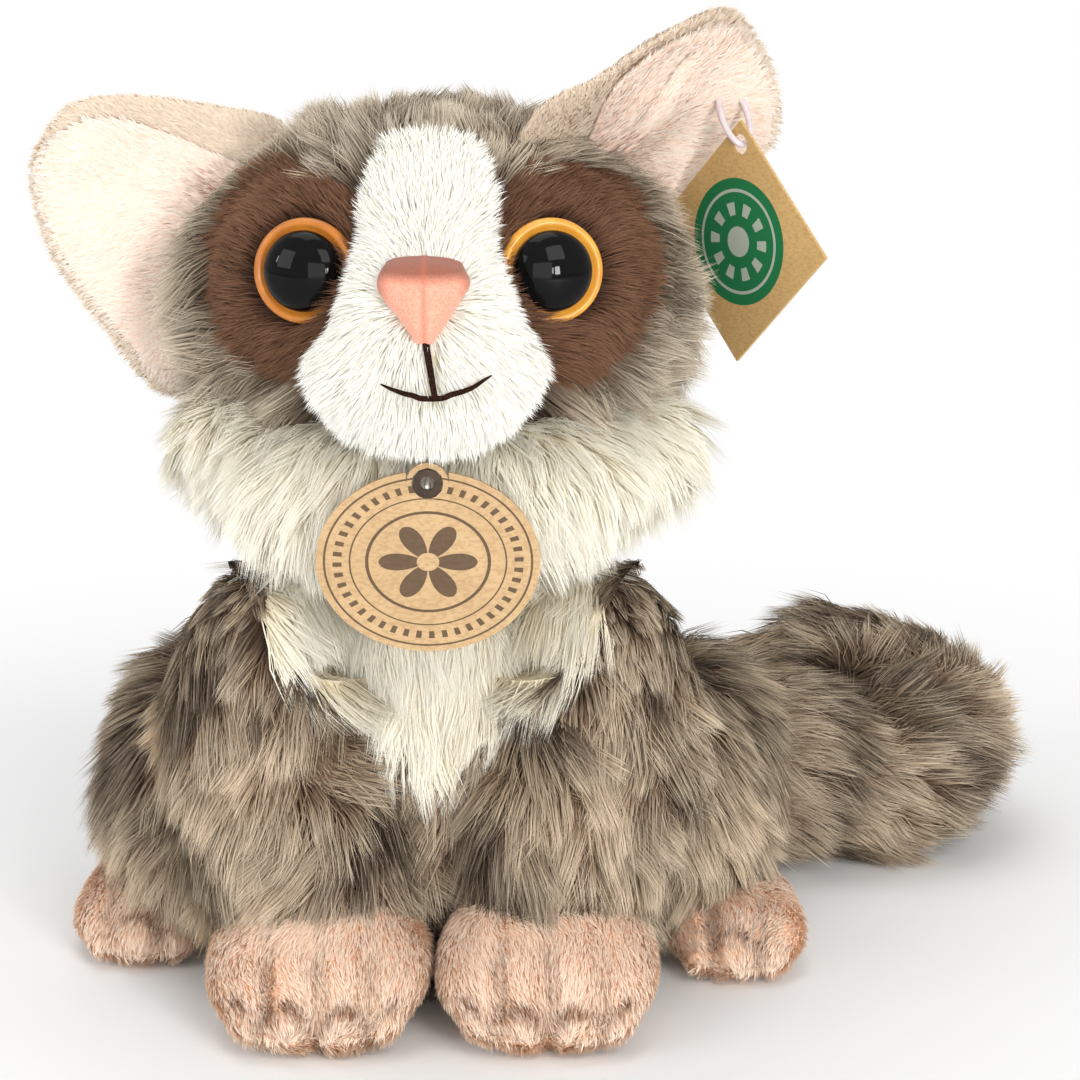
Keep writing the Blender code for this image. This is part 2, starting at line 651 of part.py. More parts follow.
def build_torso(floor):
    outer = torso_form()
    hollow = cutter("torso_hollow", torso_form(-PILE_WALL))
    head_seat = cutter("head_seat", ball(HEAD_CENTRE, (HEAD_HALF_HEIGHT + GAP,) * 3, segments=20, rings=16))
    ball_seats = [head_seat]
    for side, sign in SIDES.items():
        ball_seats.append(seat("shoulder_" + side, shoulder(sign), SHOULDER_RADIUS))
    tail_seat = seat("tail", TAIL_ROOT, TAIL_ROOT_RADIUS)
    ball_seats.append(tail_seat)

    neck = HEAD_CENTRE.xy
    plug_top = HEAD_CENTRE.z - HEAD_HALF_HEIGHT + NECK_RADIUS
    plug_foot = HEAD_CENTRE.z - HEAD_HALF_HEIGHT - NECK_PLUG_LENGTH
    neck_hole = cutter("neck_hole", rod((*neck, plug_foot - GAP), (*neck, plug_top), NECK_RADIUS + GAP, NECK_FACETS))

    def bib_outline(grow):
        top, tip = TORSO_HEIGHT, TORSO_HEIGHT - BIB_LENGTH
        wide = BIB_HALF_WIDTH + grow
        bend = BIB_BEND * BIB_LENGTH
        points = [(-wide, top), (-wide, tip - grow + bend), (0, tip - 1.5 * grow), (wide, tip - grow + bend), (wide, top)]
        front = -2 * TORSO_HALF_DEPTH
        return prism([Vector((x, front, z)) for x, z in points], (0, -front - NECK_LEAN - NECK_RADIUS / 2, 0))

    shell = cut(node("torso_cover", outer, "grey_fur"), hollow, cutter("bib_place", bib_outline(GAP)))
    cut(shell, floor, neck_hole, *ball_seats)
    bib = cut(node("chest_bib", torso_form(), "cream_fur"), cutter("bib_hollow", torso_form(-PILE_WALL)))
    boolean(bib, cutter("bib_keep", bib_outline(0.0)), "INTERSECT")
    cut(bib, neck_hole, *ball_seats)

    split = TORSO_HALF_WIDTH * 2
    above = cutter("above_pellets", block((-split, -split, PELLET_LEVEL), (split, split, TORSO_HEIGHT * 2)))
    below = cutter("below_pellets", block((-split, -split, -0.02), (split, split, PELLET_LEVEL + GAP)))
    cut(node("torso_filling", torso_form(-PILE_WALL - FILLING_PLAY), "fibre"), below, neck_hole, *ball_seats)
    cut(node("seat_pellet_bag", torso_form(-PILE_WALL - FILLING_PLAY), "pellet_bag"), above, tail_seat)
    return head_seat, tail_seat


def build_neck(head_seat):
    turn = empty("joint_head_turn", HEAD_CENTRE)
    neck = HEAD_CENTRE.xy
    foot = HEAD_CENTRE.z - HEAD_HALF_HEIGHT - NECK_PLUG_LENGTH
    plug = rod((*neck, foot), (*neck, foot + 2 * NECK_PLUG_LENGTH), NECK_RADIUS, NECK_FACETS)
    cut(node("neck_filling", plug, "fibre", turn), head_seat)


def build_eye(side, sign, nod):
    """A safety eye: amber body with its shank, black pupil dome in front, washer inside the head."""
    back, facing = eye_frame(sign)
    front = back + facing * EYE_BODY_THICKNESS
    body = turned(
        [
            (0, -SHANK_LENGTH),
            (SHANK_RADIUS, -SHANK_LENGTH),
            (SHANK_RADIUS, 0),
            (EYE_RADIUS * 0.96, 0),
            (EYE_RADIUS, EYE_BODY_THICKNESS * 0.5),
            (EYE_RADIUS * 0.93, EYE_BODY_THICKNESS),
            (0, EYE_BODY_THICKNESS),
        ],
        back,
        facing,
    )
    node("eye_body_" + side, body, "amber_plastic", nod)
    dome = [(0, 0), (PUPIL_RADIUS, 0)]
    steps = 4
    for i in range(1, steps + 1):
        a = math.pi / 2 * i / steps
        dome.append((PUPIL_RADIUS * math.cos(a) if i < steps else 0, PUPIL_RISE * math.sin(a)))
    node("eye_pupil_" + side, turned(dome, front + facing * GAP, facing), "black_plastic", nod)
    inner = back - facing * WASHER_DEPTH
    washer = node("eye_washer_" + side, rod(inner, inner - facing * WASHER_THICKNESS, WASHER_RADIUS), "washer_plastic", nod)
    cut(washer, cutter("washer_hole_" + side, rod(back, back - facing * 2 * SHANK_LENGTH, SHANK_RADIUS + GAP)))


def build_head(nod):
    shank_tools, sockets, washers = [], [], []
    for side, sign in SIDES.items():
        back, facing = eye_frame(sign)
        front = back + facing * 3 * EYE_RADIUS
        sockets.append(cutter("socket_" + side, rod(back - facing * GAP, front, EYE_RADIUS + 2 * GAP, 16)))
        end = back - facing * (SHANK_LENGTH + GAP)
        shank_tools.append(cutter("shank_hole_" + side, rod(back + facing * GAP, end, SHANK_RADIUS + GAP)))
        inner = back - facing * (WASHER_DEPTH - GAP)
        room = rod(inner, inner - facing * (WASHER_THICKNESS + 2 * GAP), WASHER_RADIUS + GAP)
        washers.append(cutter("washer_room_" + side, room))

    def patch_keep(sign, grow):
        back, _ = eye_frame(sign)
        outline = []
        for k in range(20):
            a = 2 * math.pi * k / 20
            x = (PATCH_HALF_WIDTH + grow) * math.cos(a) + sign * PATCH_OUT
            z = (PATCH_HALF_HEIGHT + grow) * math.sin(a) - PATCH_DROP
            outline.append(Vector((back.x + x, -2 * HEAD_HALF_DEPTH, back.z + z)))
        return prism(outline, (0, 2 * HEAD_HALF_DEPTH + HEAD_CENTRE.y, 0))

    wall = PILE_WALL
    hollow = cutter("head_hollow", head_form(-wall))
    neck = HEAD_CENTRE.xy
    low = HEAD_CENTRE.z - HEAD_HALF_HEIGHT
    neck_hole = cutter("head_neck_hole", rod((*neck, low - wall), (*neck, low + 3 * wall), NECK_RADIUS))
    pins = cutter("pin_place", rod(*pin_ends(GAP), PIN_RADIUS + GAP))

    cover = cut(node("head_cover", head_form(), "grey_fur", nod), hollow, neck_hole)
    for side, sign in SIDES.items():
        cut(cover, cutter("patch_place_" + side, patch_keep(sign, GAP)))
    cut(cover, *sockets, *shank_tools)
    for (side, sign), socket, shank in zip(SIDES.items(), sockets, shank_tools):
        patch = cut(node("eye_patch_" + side, head_form(), "brown_plush", nod), hollow)
        boolean(patch, cutter("patch_keep_" + side, patch_keep(sign, 0.0)), "INTERSECT")
        cut(patch, socket, shank)
    cut(node("head_filling", head_form(-wall - FILLING_PLAY), "fibre", nod), *sockets, *shank_tools, *washers)

    head_tool = cutter("head_for_face", head_form(GAP))
    muzzle_tool = cutter("muzzle_for_face", muzzle_form(GAP))
    stuffed = len(BLAZE_PROFILE)
    muzzle_hollow = cutter("muzzle_hollow", muzzle_form(-wall, stuffed))
    cut(node("muzzle", muzzle_form(), "white_plush", nod), muzzle_hollow, head_tool, *sockets)
    filling = node("muzzle_filling", muzzle_form(-wall - FILLING_PLAY, stuffed), "fibre", nod)
    cut(filling, head_tool, *sockets)
    cut(node("cheek_ruff", ruff_form(), "cream_fur", nod), head_tool, muzzle_tool, pins)

    tree = BVHTree.FromBMesh(muzzle_form())
    tip = HEAD_CENTRE.z + NOSE_TIP * HEAD_HALF_HEIGHT
    nose_stations = []
    for drop, wide, deep in NOSE_PROFILE:
        z = tip + NOSE_HEIGHT * (1 - drop)
        nose_stations.append((laid_on(tree, 0, z, 0.0), wide * NOSE_HALF_WIDTH, deep * NOSE_HALF_DEPTH))
    cut(node("nose", loft(nose_stations, BACK, segments=12, ends=(0.6, 0.6)), "nose_plush", nod), muzzle_tool)

    lift = THREAD_RADIUS + GAP
    start = tip - MOUTH_START
    line = [laid_on(tree, 0, start - MOUTH_DROP * i / 5, lift) for i in range(6)]
    thread("mouth_line", line, "brown_thread", nod)
    smile = []
    for i in range(13):
        share = 2 * i / 12 - 1
        z = start - MOUTH_DROP - 2 * THREAD_RADIUS - SMILE_PLAY + SMILE_RISE * share * share
        smile.append(laid_on(tree, share * SMILE_HALF_WIDTH, z, lift))
    thread("mouth_smile", smile, "brown_thread", nod)


def laid_on(tree, x, z, lift):
    """The point of a surface seen from the front at x and z, lifted along its normal."""
    place, normal, _, _ = tree.ray_cast(Vector((x, -0.2, z)), BACK)
    return place + normal * lift


def pin_ends(more=0.0):
    """The tag's pin, from inside the ruff forward through the eyelet."""
    eyelet = tag_eyelet()
    return eyelet + BACK * (0.6 * PIN_LENGTH + more), eyelet - BACK * (0.4 * PIN_LENGTH + more)


def tag_eyelet():
    """The eyelet's middle, just in front of the ruff under the chin."""
    front = RUFF_RADIUS * RUFF_PROFILE[0][2] + CARD_THICKNESS / 2 + TAG_PLAY
    return ruff_middle(*RUFF_PROFILE[0]) + Vector((0, -front, TAG_RAISE))


def build_chest_tag(nod):
    """A kraft card with a tab and a turned eyelet, free to swing on its pin."""
    middle = tag_eyelet()
    swing = empty("joint_chest_tag", middle)
    node("chest_tag_pin", rod(*pin_ends(), PIN_RADIUS, 10), "loop_plastic", nod)
    card_middle = middle.z - TAG_HALF_HEIGHT + TAG_TAB_REACH
    outline = []
    start = math.asin(TAG_TAB_RADIUS / TAG_HALF_WIDTH)
    steps = 36
    for k in range(steps + 1):
        a = math.pi / 2 + start + (2 * math.pi - 2 * start) * k / steps
        outline.append((TAG_HALF_WIDTH * math.cos(a), card_middle + TAG_HALF_HEIGHT * math.sin(a)))
    for k in range(9):
        a = math.pi * k / 8
        outline.append((TAG_TAB_RADIUS * math.cos(a), middle.z + TAG_TAB_RADIUS * math.sin(a)))
    half = CARD_THICKNESS / 2
    card = prism([Vector((x, middle.y - half, z)) for x, z in outline], (0, CARD_THICKNESS, 0))
    hole = rod(middle - BACK * 0.01, middle + BACK * 0.01, EYELET_RADIUS + GAP)
    cut(node("chest_tag", card, "kraft_card", swing), cutter("eyelet_place", hole))
    depth = CARD_THICKNESS / 2 + EYELET_LIP
    ring = rod(middle - BACK * depth, middle + BACK * depth, EYELET_RADIUS, 20)
    eyelet = node("chest_tag_eyelet", ring, "dark_eyelet", swing)
    cut(eyelet, cutter("eyelet_bore", rod(middle - BACK * 0.01, middle + BACK * 0.01, EYELET_HOLE)))


def build_ears(head_tool):
    joints = {}
    for side in SIDES:
        fold = empty("joint_ear_" + side, ear_seam(side))
        joints[side] = fold
        half = GAP / 2
        panels = (("front", half, half + EAR_PANEL, "ear_inner"), ("back", -half - EAR_PANEL, -half, "ear_outer"))
        for name, near, far, finish in panels:
            panel = node(f"ear_{side}_{name}", ear_panel(side, near, far), finish, fold)
            cut(panel, head_tool)
            if side == "left":
                cut(panel, cutter("loop_hole_" + name, ear_loop(GAP)))
    return joints


def card_normal():
    return Vector((-math.sin(EAR_CARD_YAW), -math.cos(EAR_CARD_YAW), 0))


def ear_loop(grow=0.0):
    """The plastic loop, which runs through the ear above and the card's hole below."""
    through_ear = ear_point("left", *LOOP_IN_EAR)
    long = -LOOP_DROP / 2
    normal = card_normal()
    short = (normal - long * normal.dot(long) / long.length_squared).normalized() * LOOP_HALF_WIDTH
    return loop_form(through_ear - long, long, short, LOOP_WIRE + grow)


def build_ear_tag(ear_joint):
    """A square kraft card hung by one corner from a plastic loop."""
    node("ear_tag_loop", ear_loop(), "loop_plastic", ear_joint)
    hole = ear_point("left", *LOOP_IN_EAR) + LOOP_DROP
    swing = empty("joint_ear_tag", hole)
    normal, level = card_normal(), card_normal().cross(UP)
    reach = EAR_CARD_SIDE / math.sqrt(2)
    middle = hole + UP * (EAR_CARD_HOLE + EAR_CARD_RIM - reach)
    corners = [middle + UP * reach, middle + level * reach, middle - UP * reach, middle - level * reach]
    half = normal * CARD_THICKNESS / 2
    card = prism([corner - half for corner in corners], normal * CARD_THICKNESS)
    punch = cutter("card_hole", rod(hole - normal * 0.01, hole + normal * 0.01, EAR_CARD_HOLE))
    cut(node("ear_tag", card, "kraft_card", swing), punch)


def build_limbs(floor, tail_seat):
    torso_plain = cutter("torso_for_limbs", torso_form(GAP))
    thigh_tools = {}
    for side, sign in SIDES.items():
        thigh_tools[side] = cutter("thigh_tool_" + side, thigh_form(sign, GAP))
        thigh_cuts = [torso_plain, floor, tail_seat]
        cover_and_filling("hind_leg_" + side, partial(thigh_form, sign), "grey_fur", thigh_cuts, thigh_cuts)
        foot_tools = [thigh_tools[side], torso_plain, floor]
        cover_and_filling("hind_foot_" + side, partial(foot_form, side), "peach_plush", foot_tools, foot_tools)
    for side, sign in SIDES.items():
        pivot = shoulder(sign)
        lift = empty("joint_foreleg_" + side, pivot)
        torso_tool = beside("foreleg_" + side, pivot, SHOULDER_RADIUS, "torso", torso_form(LIMB_PLAY))
        wrist = PAW_HEIGHT * WRIST
        below = cutter("below_wrist_" + side, block((-0.2, -0.2, -0.1), (0.2, 0.2, wrist)))
        foot_tool = cutter("foot_tool_" + side, foot_form(side, GAP))
        leg_hollow = cutter("foreleg_hollow_" + side, foreleg_form(sign, -PILE_WALL))
        leg_tool = cutter("foreleg_tool_" + side, foreleg_form(sign, GAP))
        leg = node("foreleg_" + side, foreleg_form(sign), "grey_fur", lift)
        cut(leg, leg_hollow, below, torso_tool, thigh_tools[side], foot_tool)
        filling = node("foreleg_filling_" + side, foreleg_form(sign, -PILE_WALL - FILLING_PLAY), "fibre", lift)
        cut(filling, below, torso_tool, thigh_tools[side])
        paw = node("forepaw_" + side, paw_form(sign), "peach_plush", lift)
        cut(paw, leg_tool, thigh_tools[side], torso_plain, floor)


def build_tail(floor):
    swing = empty("joint_tail", TAIL_ROOT)
    torso_tool = beside("tail", TAIL_ROOT, TAIL_ROOT_RADIUS, "torso", torso_form(LIMB_PLAY))
    thigh_tool = beside("tail", TAIL_ROOT, TAIL_ROOT_RADIUS, "thigh", thigh_form(SIDES["left"], LIMB_PLAY))
    tools = [torso_tool, thigh_tool, floor]
    mouth = cutter("tail_mouth", ball(TAIL_ROOT - Vector((0.012, 0.012, 0)), (0.010,) * 3))
    cover_and_filling("tail", tail_form, "grey_fur", tools + [mouth], tools, swing)


def main():
    clear_scene()
    floor = floor_cutter()
    head_seat, tail_seat = build_torso(floor)
    build_neck(head_seat)
    nod = empty("joint_head_nod", HEAD_CENTRE)
    build_head(nod)
    for side, sign in SIDES.items():
        build_eye(side, sign, nod)
    ears = build_ears(cutter("head_for_ears", head_form(EAR_PLAY)))
    build_ear_tag(ears["left"])
    build_chest_tag(nod)
    build_limbs(floor, tail_seat)
    build_tail(floor)


main()
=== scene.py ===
"""A seated plush animal: long grey-brown pile, cream ruff and bib, safety eyes, cupped ears, two cards."""

import math

import bpy
import numpy as np
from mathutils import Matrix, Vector
from mathutils.bvhtree import BVHTree
from mathutils.kdtree import KDTree


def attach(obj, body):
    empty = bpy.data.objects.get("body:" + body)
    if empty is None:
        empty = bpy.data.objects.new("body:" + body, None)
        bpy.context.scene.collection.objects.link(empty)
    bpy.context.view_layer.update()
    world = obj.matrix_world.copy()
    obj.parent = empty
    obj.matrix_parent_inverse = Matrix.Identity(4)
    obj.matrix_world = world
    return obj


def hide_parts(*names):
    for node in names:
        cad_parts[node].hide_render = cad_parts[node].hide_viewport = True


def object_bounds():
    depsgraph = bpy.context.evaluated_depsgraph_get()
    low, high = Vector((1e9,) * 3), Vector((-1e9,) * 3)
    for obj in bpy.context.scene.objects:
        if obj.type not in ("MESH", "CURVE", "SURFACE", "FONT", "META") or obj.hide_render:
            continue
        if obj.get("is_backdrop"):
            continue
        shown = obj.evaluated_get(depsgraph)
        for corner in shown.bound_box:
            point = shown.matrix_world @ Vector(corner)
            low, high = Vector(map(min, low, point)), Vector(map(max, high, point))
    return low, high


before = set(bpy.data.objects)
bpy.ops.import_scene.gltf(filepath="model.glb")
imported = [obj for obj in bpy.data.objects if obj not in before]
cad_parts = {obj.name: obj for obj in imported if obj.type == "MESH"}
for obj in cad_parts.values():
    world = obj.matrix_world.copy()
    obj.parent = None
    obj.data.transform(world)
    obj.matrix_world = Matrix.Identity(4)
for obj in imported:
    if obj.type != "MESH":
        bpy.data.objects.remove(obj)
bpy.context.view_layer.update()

scene = bpy.context.scene
scene.view_settings.view_transform = "Standard"

# ---------------------------------------------------------------- the studio
# A white sweep with large soft lamps: the key high at the front right, a fill from the left, and
# small window panes that the eyes mirror. The camera looks down a little, as in the photograph.

lens = bpy.data.cameras.new("camera")
lens.lens = 118.07
lens.sensor_width = 36
camera = bpy.data.objects.new("camera", lens)
camera.location = (0.0189, -0.62785, 0.24623)
camera.rotation_euler = (math.radians(75), 0, 0)
scene.collection.objects.link(camera)
scene.camera = camera


def lamp(name, place, size, watts):
    """A soft rectangular lamp aimed at the middle of the animal."""
    light = bpy.data.lights.new(name, "AREA")
    light.shape = "RECTANGLE"
    light.size, light.size_y = size
    light.energy = watts
    made = bpy.data.objects.new(name, light)
    made.location = place
    middle = Vector((0, 0, 0.09))
    made.rotation_euler = (middle - Vector(place)).to_track_quat("-Z", "Y").to_euler()
    scene.collection.objects.link(made)


lamp("key_lamp", (0.9, -1.6, 1.5), (1.1, 1.1), 13.5)
lamp("front_lamp", (0.1, -2.1, 0.45), (1.3, 0.9), 8.5)
lamp("top_lamp", (-0.2, 0.3, 1.9), (1.4, 1.4), 11.0)
lamp("fill_lamp", (-1.6, -1.1, 0.9), (1.0, 1.0), 9.0)
lamp("window_pane", (0.62, -1.16, 0.30), (0.15, 0.24), 4.5)
lamp("window_side_pane", (0.47, -1.19, 0.30), (0.05, 0.19), 0.9)
lamp("left_pane", (-1.25, -0.40, 0.55), (0.05, 0.22), 0.8)


def added(tree, kind, values=(), **options):
    """A node with these options, and these numbers or colours on its sockets."""
    node = tree.nodes.new("ShaderNode" + kind)
    for option, value in options.items():
        setattr(node, option, value)
    for socket, value in dict(values).items():
        node.inputs[socket].default_value = value
    return node


def joined(tree, *pairs):
    """Each output linked to its input."""
    for source, target in pairs:
        tree.links.new(source, target)


def finish_of(name, rough=0.5, gloss=0.5):
    """A material with a plain shader: the material, its node tree and the shader."""
    made = bpy.data.materials.new(name)
    made.use_nodes = True
    shader = made.node_tree.nodes["Principled BSDF"]
    shader.inputs["Roughness"].default_value = rough
    shader.inputs["Specular IOR Level"].default_value = gloss
    return made, made.node_tree, shader


world = bpy.data.worlds.new("studio")
scene.world = world
world.use_nodes = True
sky = world.node_tree
sky.nodes.clear()
seen = added(sky, "LightPath")
either = added(sky, "Math", operation="MAXIMUM")
glassy = added(sky, "Math", operation="MAXIMUM")
strength = added(sky, "MapRange", {"To Min": 0.60, "To Max": 1.0})
white = added(sky, "Background")
joined(
    sky,
    (seen.outputs["Is Camera Ray"], either.inputs[0]),
    (seen.outputs["Is Glossy Ray"], either.inputs[1]),
    (either.outputs[0], glassy.inputs[0]),
    (seen.outputs["Is Transmission Ray"], glassy.inputs[1]),
    (glassy.outputs[0], strength.inputs["Value"]),
    (strength.outputs["Result"], white.inputs["Strength"]),
    (white.outputs[0], added(sky, "OutputWorld").inputs[0]),
)

floor_mesh = bpy.data.meshes.new("floor")
floor_mesh.from_pydata([(-6, -6, 0), (6, -6, 0), (6, 6, 0), (-6, 6, 0)], [], [(0, 1, 2, 3)])
floor = bpy.data.objects.new("floor", floor_mesh)
scene.collection.objects.link(floor)
floor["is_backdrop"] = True
sweep, tree, paper = finish_of("white_sweep", 0.6)
paper.inputs["Base Color"].default_value = (0.94, 0.94, 0.94, 1)
far = added(tree, "VectorMath", {1: (0.02, 0.02, 0)}, operation="DISTANCE")
fade = added(tree, "MapRange", {"From Min": 0.10, "From Max": 0.28}, interpolation_type="SMOOTHSTEP")
lit = added(tree, "Math", operation="MULTIPLY")
glow = added(tree, "Emission", {"Color": (1, 1, 1, 1)})
blend = added(tree, "MixShader")
joined(
    tree,
    (added(tree, "TexCoord").outputs["Object"], far.inputs[0]),
    (far.outputs["Value"], fade.inputs["Value"]),
    (fade.outputs["Result"], lit.inputs[0]),
    (added(tree, "LightPath").outputs["Is Camera Ray"], lit.inputs[1]),
    (lit.outputs[0], blend.inputs[0]),
    (paper.outputs[0], blend.inputs[1]),
    (glow.outputs[0], blend.inputs[2]),
    (blend.outputs[0], tree.nodes["Material Output"].inputs["Surface"]),
)
floor_mesh.materials.append(sweep)

# ---------------------------------------------------------------- torso and bib
# The body is a bag of long-pile fabric, grey-brown with a cream bib let into the chest. The pile is
# combed down; where its locks part, the dark backing and the brown roots show.


def smoothed(rows, steps):
    """Rows of numbers with smooth rows put in between."""
    rows = np.array(rows, float)
    padded = np.vstack([2 * rows[0] - rows[1], rows, 2 * rows[-1] - rows[-2]])
    made = []
    for i in range(len(rows) - 1):
        a, b, c, d = padded[i : i + 4]
        for k in range(steps):
            t = k / steps
            curve = (2 * a - 5 * b + 4 * c - d) * t * t + (3 * b - a - 3 * c + d) * t**3
            made.append(0.5 * (2 * b + (c - a) * t + curve))
    made.append(rows[-1])
    return np.array(made)


def unit(vectors):
    return vectors / np.maximum(np.linalg.norm(vectors, axis=-1, keepdims=True), 1e-9)


def ringed(rings, first, last):
    """A closed surface through rings of points, with a pole at each end: (points, faces)."""
    rings = np.array(rings)
    rows, count = rings.shape[:2]
    points = np.vstack([rings.reshape(-1, 3), [first], [last]])
    faces = []
    for r in range(rows - 1):
        for k in range(count):
            j = (k + 1) % count
            faces.append((r * count + k, r * count + j, (r + 1) * count + j, (r + 1) * count + k))
    end = (rows - 1) * count
    for k in range(count):
        j = (k + 1) % count
        faces.append((rows * count, j, k))
        faces.append((rows * count + 1, end + k, end + j))
    return points, faces


def stuffed_tube(stations, up, ends, segments=56, steps=6):
    """A stuffed limb through elliptical stations (x, y, z, half width, half height), with rounded ends."""
    rows = smoothed(stations, steps)
    middle, wide, high = rows[:, :3], rows[:, 3], rows[:, 4]
    along = unit(np.gradient(middle, axis=0))
    side = unit(np.cross(np.array(up, float), along))
    rise = np.cross(along, side)
    angles = np.linspace(0, 2 * np.pi, segments, endpoint=False)[:, None]

    def ring(i, shift=0.0, share=1.0):
        level = side[i] * wide[i] * share * np.cos(angles)
        return middle[i] + along[i] * shift + level + rise[i] * high[i] * share * np.sin(angles)

    last = len(rows) - 1
    reach = [ends[0] * min(wide[0], high[0]), ends[1] * min(wide[last], high[last])]
    turns = np.radians([75, 60, 45, 30, 15])
    rings = [ring(0, -reach[0] * math.sin(a), math.cos(a)) for a in turns]
    rings += [ring(i) for i in range(last + 1)]
    rings += [ring(last, reach[1] * math.sin(a), math.cos(a)) for a in turns[::-1]]
    return ringed(rings, middle[0] - along[0] * reach[0], middle[last] + along[last] * reach[1])


def waves(points, size, seed):
    """A smooth uneven field from about -1 to 1, with lumps of this size."""
    dice = np.random.default_rng(seed)
    total = np.zeros(len(points))
    for _ in range(7):
        way = unit(dice.normal(size=3)) * 2 * np.pi / size * dice.uniform(0.7, 1.4)
        total += np.sin(points @ way + dice.uniform(0, 6.28))
    return total / 3.2


def triangles(faces):
    return np.array([(f[0], f[k], f[k + 1]) for f in faces for k in range(1, len(f) - 1)])


def facing_out(points, faces):
    """The faces turned outwards, their triangles and the points' normals."""
    tris = triangles(faces)
    corners = points[tris]
    flat = np.cross(corners[:, 1] - corners[:, 0], corners[:, 2] - corners[:, 0])
    if (corners[:, 0] * flat).sum() < 0:
        faces = [tuple(reversed(f)) for f in faces]
        tris, flat = tris[:, ::-1], -flat
    normals = np.zeros_like(points)
    for k in range(3):
        np.add.at(normals, tris[:, k], flat)
    return faces, tris, unit(normals)


def backing(points, faces, depth):
    """The fabric's backing, this far under the mean surface of the pile."""
    faces, tris, normals = facing_out(points, faces)
    if callable(depth):
        depth = depth(points)[:, None]
    sunk = points - normals * depth
    sunk[:, 2] = np.maximum(sunk[:, 2], 0.0004)
    faces, tris, normals = facing_out(sunk, faces)
    return {"points": sunk, "faces": faces, "tris": tris, "normals": normals}


def tree_of(form):
    corners = [tuple(p) for p in form["points"]]
    return BVHTree.FromPolygons(corners, [tuple(t) for t in form["tris"].tolist()])


def within(points, tree, deep=0.0):
    """Which points lie inside a closed surface, by at least this much."""
    inside = np.zeros(len(points), bool)
    up = Vector((0.05, 0.03, 1.0)).normalized()
    for i, point in enumerate(points):
        near, normal, _, far = tree.find_nearest(point)
        if (Vector(point) - near).dot(normal) < 0 and far >= deep:
            crossings, hit = 0, tree.ray_cast(Vector(point), up)[0]
            while hit is not None:
                crossings += 1
                hit = tree.ray_cast(hit + up * 1e-6, up)[0]
            inside[i] = crossings % 2 == 1
    return inside


def hung(name, mesh, body):
    """A mesh as a piece that moves with a body."""
    made = bpy.data.objects.new(name, mesh)
    scene.collection.objects.link(made)
    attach(made, body)
    return made


def sewn(name, form, material, body, panel=None, inside=None):
    """The backing as a piece of its own, with a panel of another fabric let in where asked."""
    mesh = bpy.data.meshes.new(name)
    mesh.from_pydata(form["points"].tolist(), [], form["faces"])
    mesh.shade_smooth()
    mesh.materials.append(material)
    if panel is not None:
        mesh.materials.append(panel)
        middles = [np.mean([form["points"][i] for i in face], axis=0) for face in form["faces"]]
        mesh.polygons.foreach_set("material_index", (inside(np.array(middles)) > 0).astype(np.int32))
    return hung(name, mesh, body)


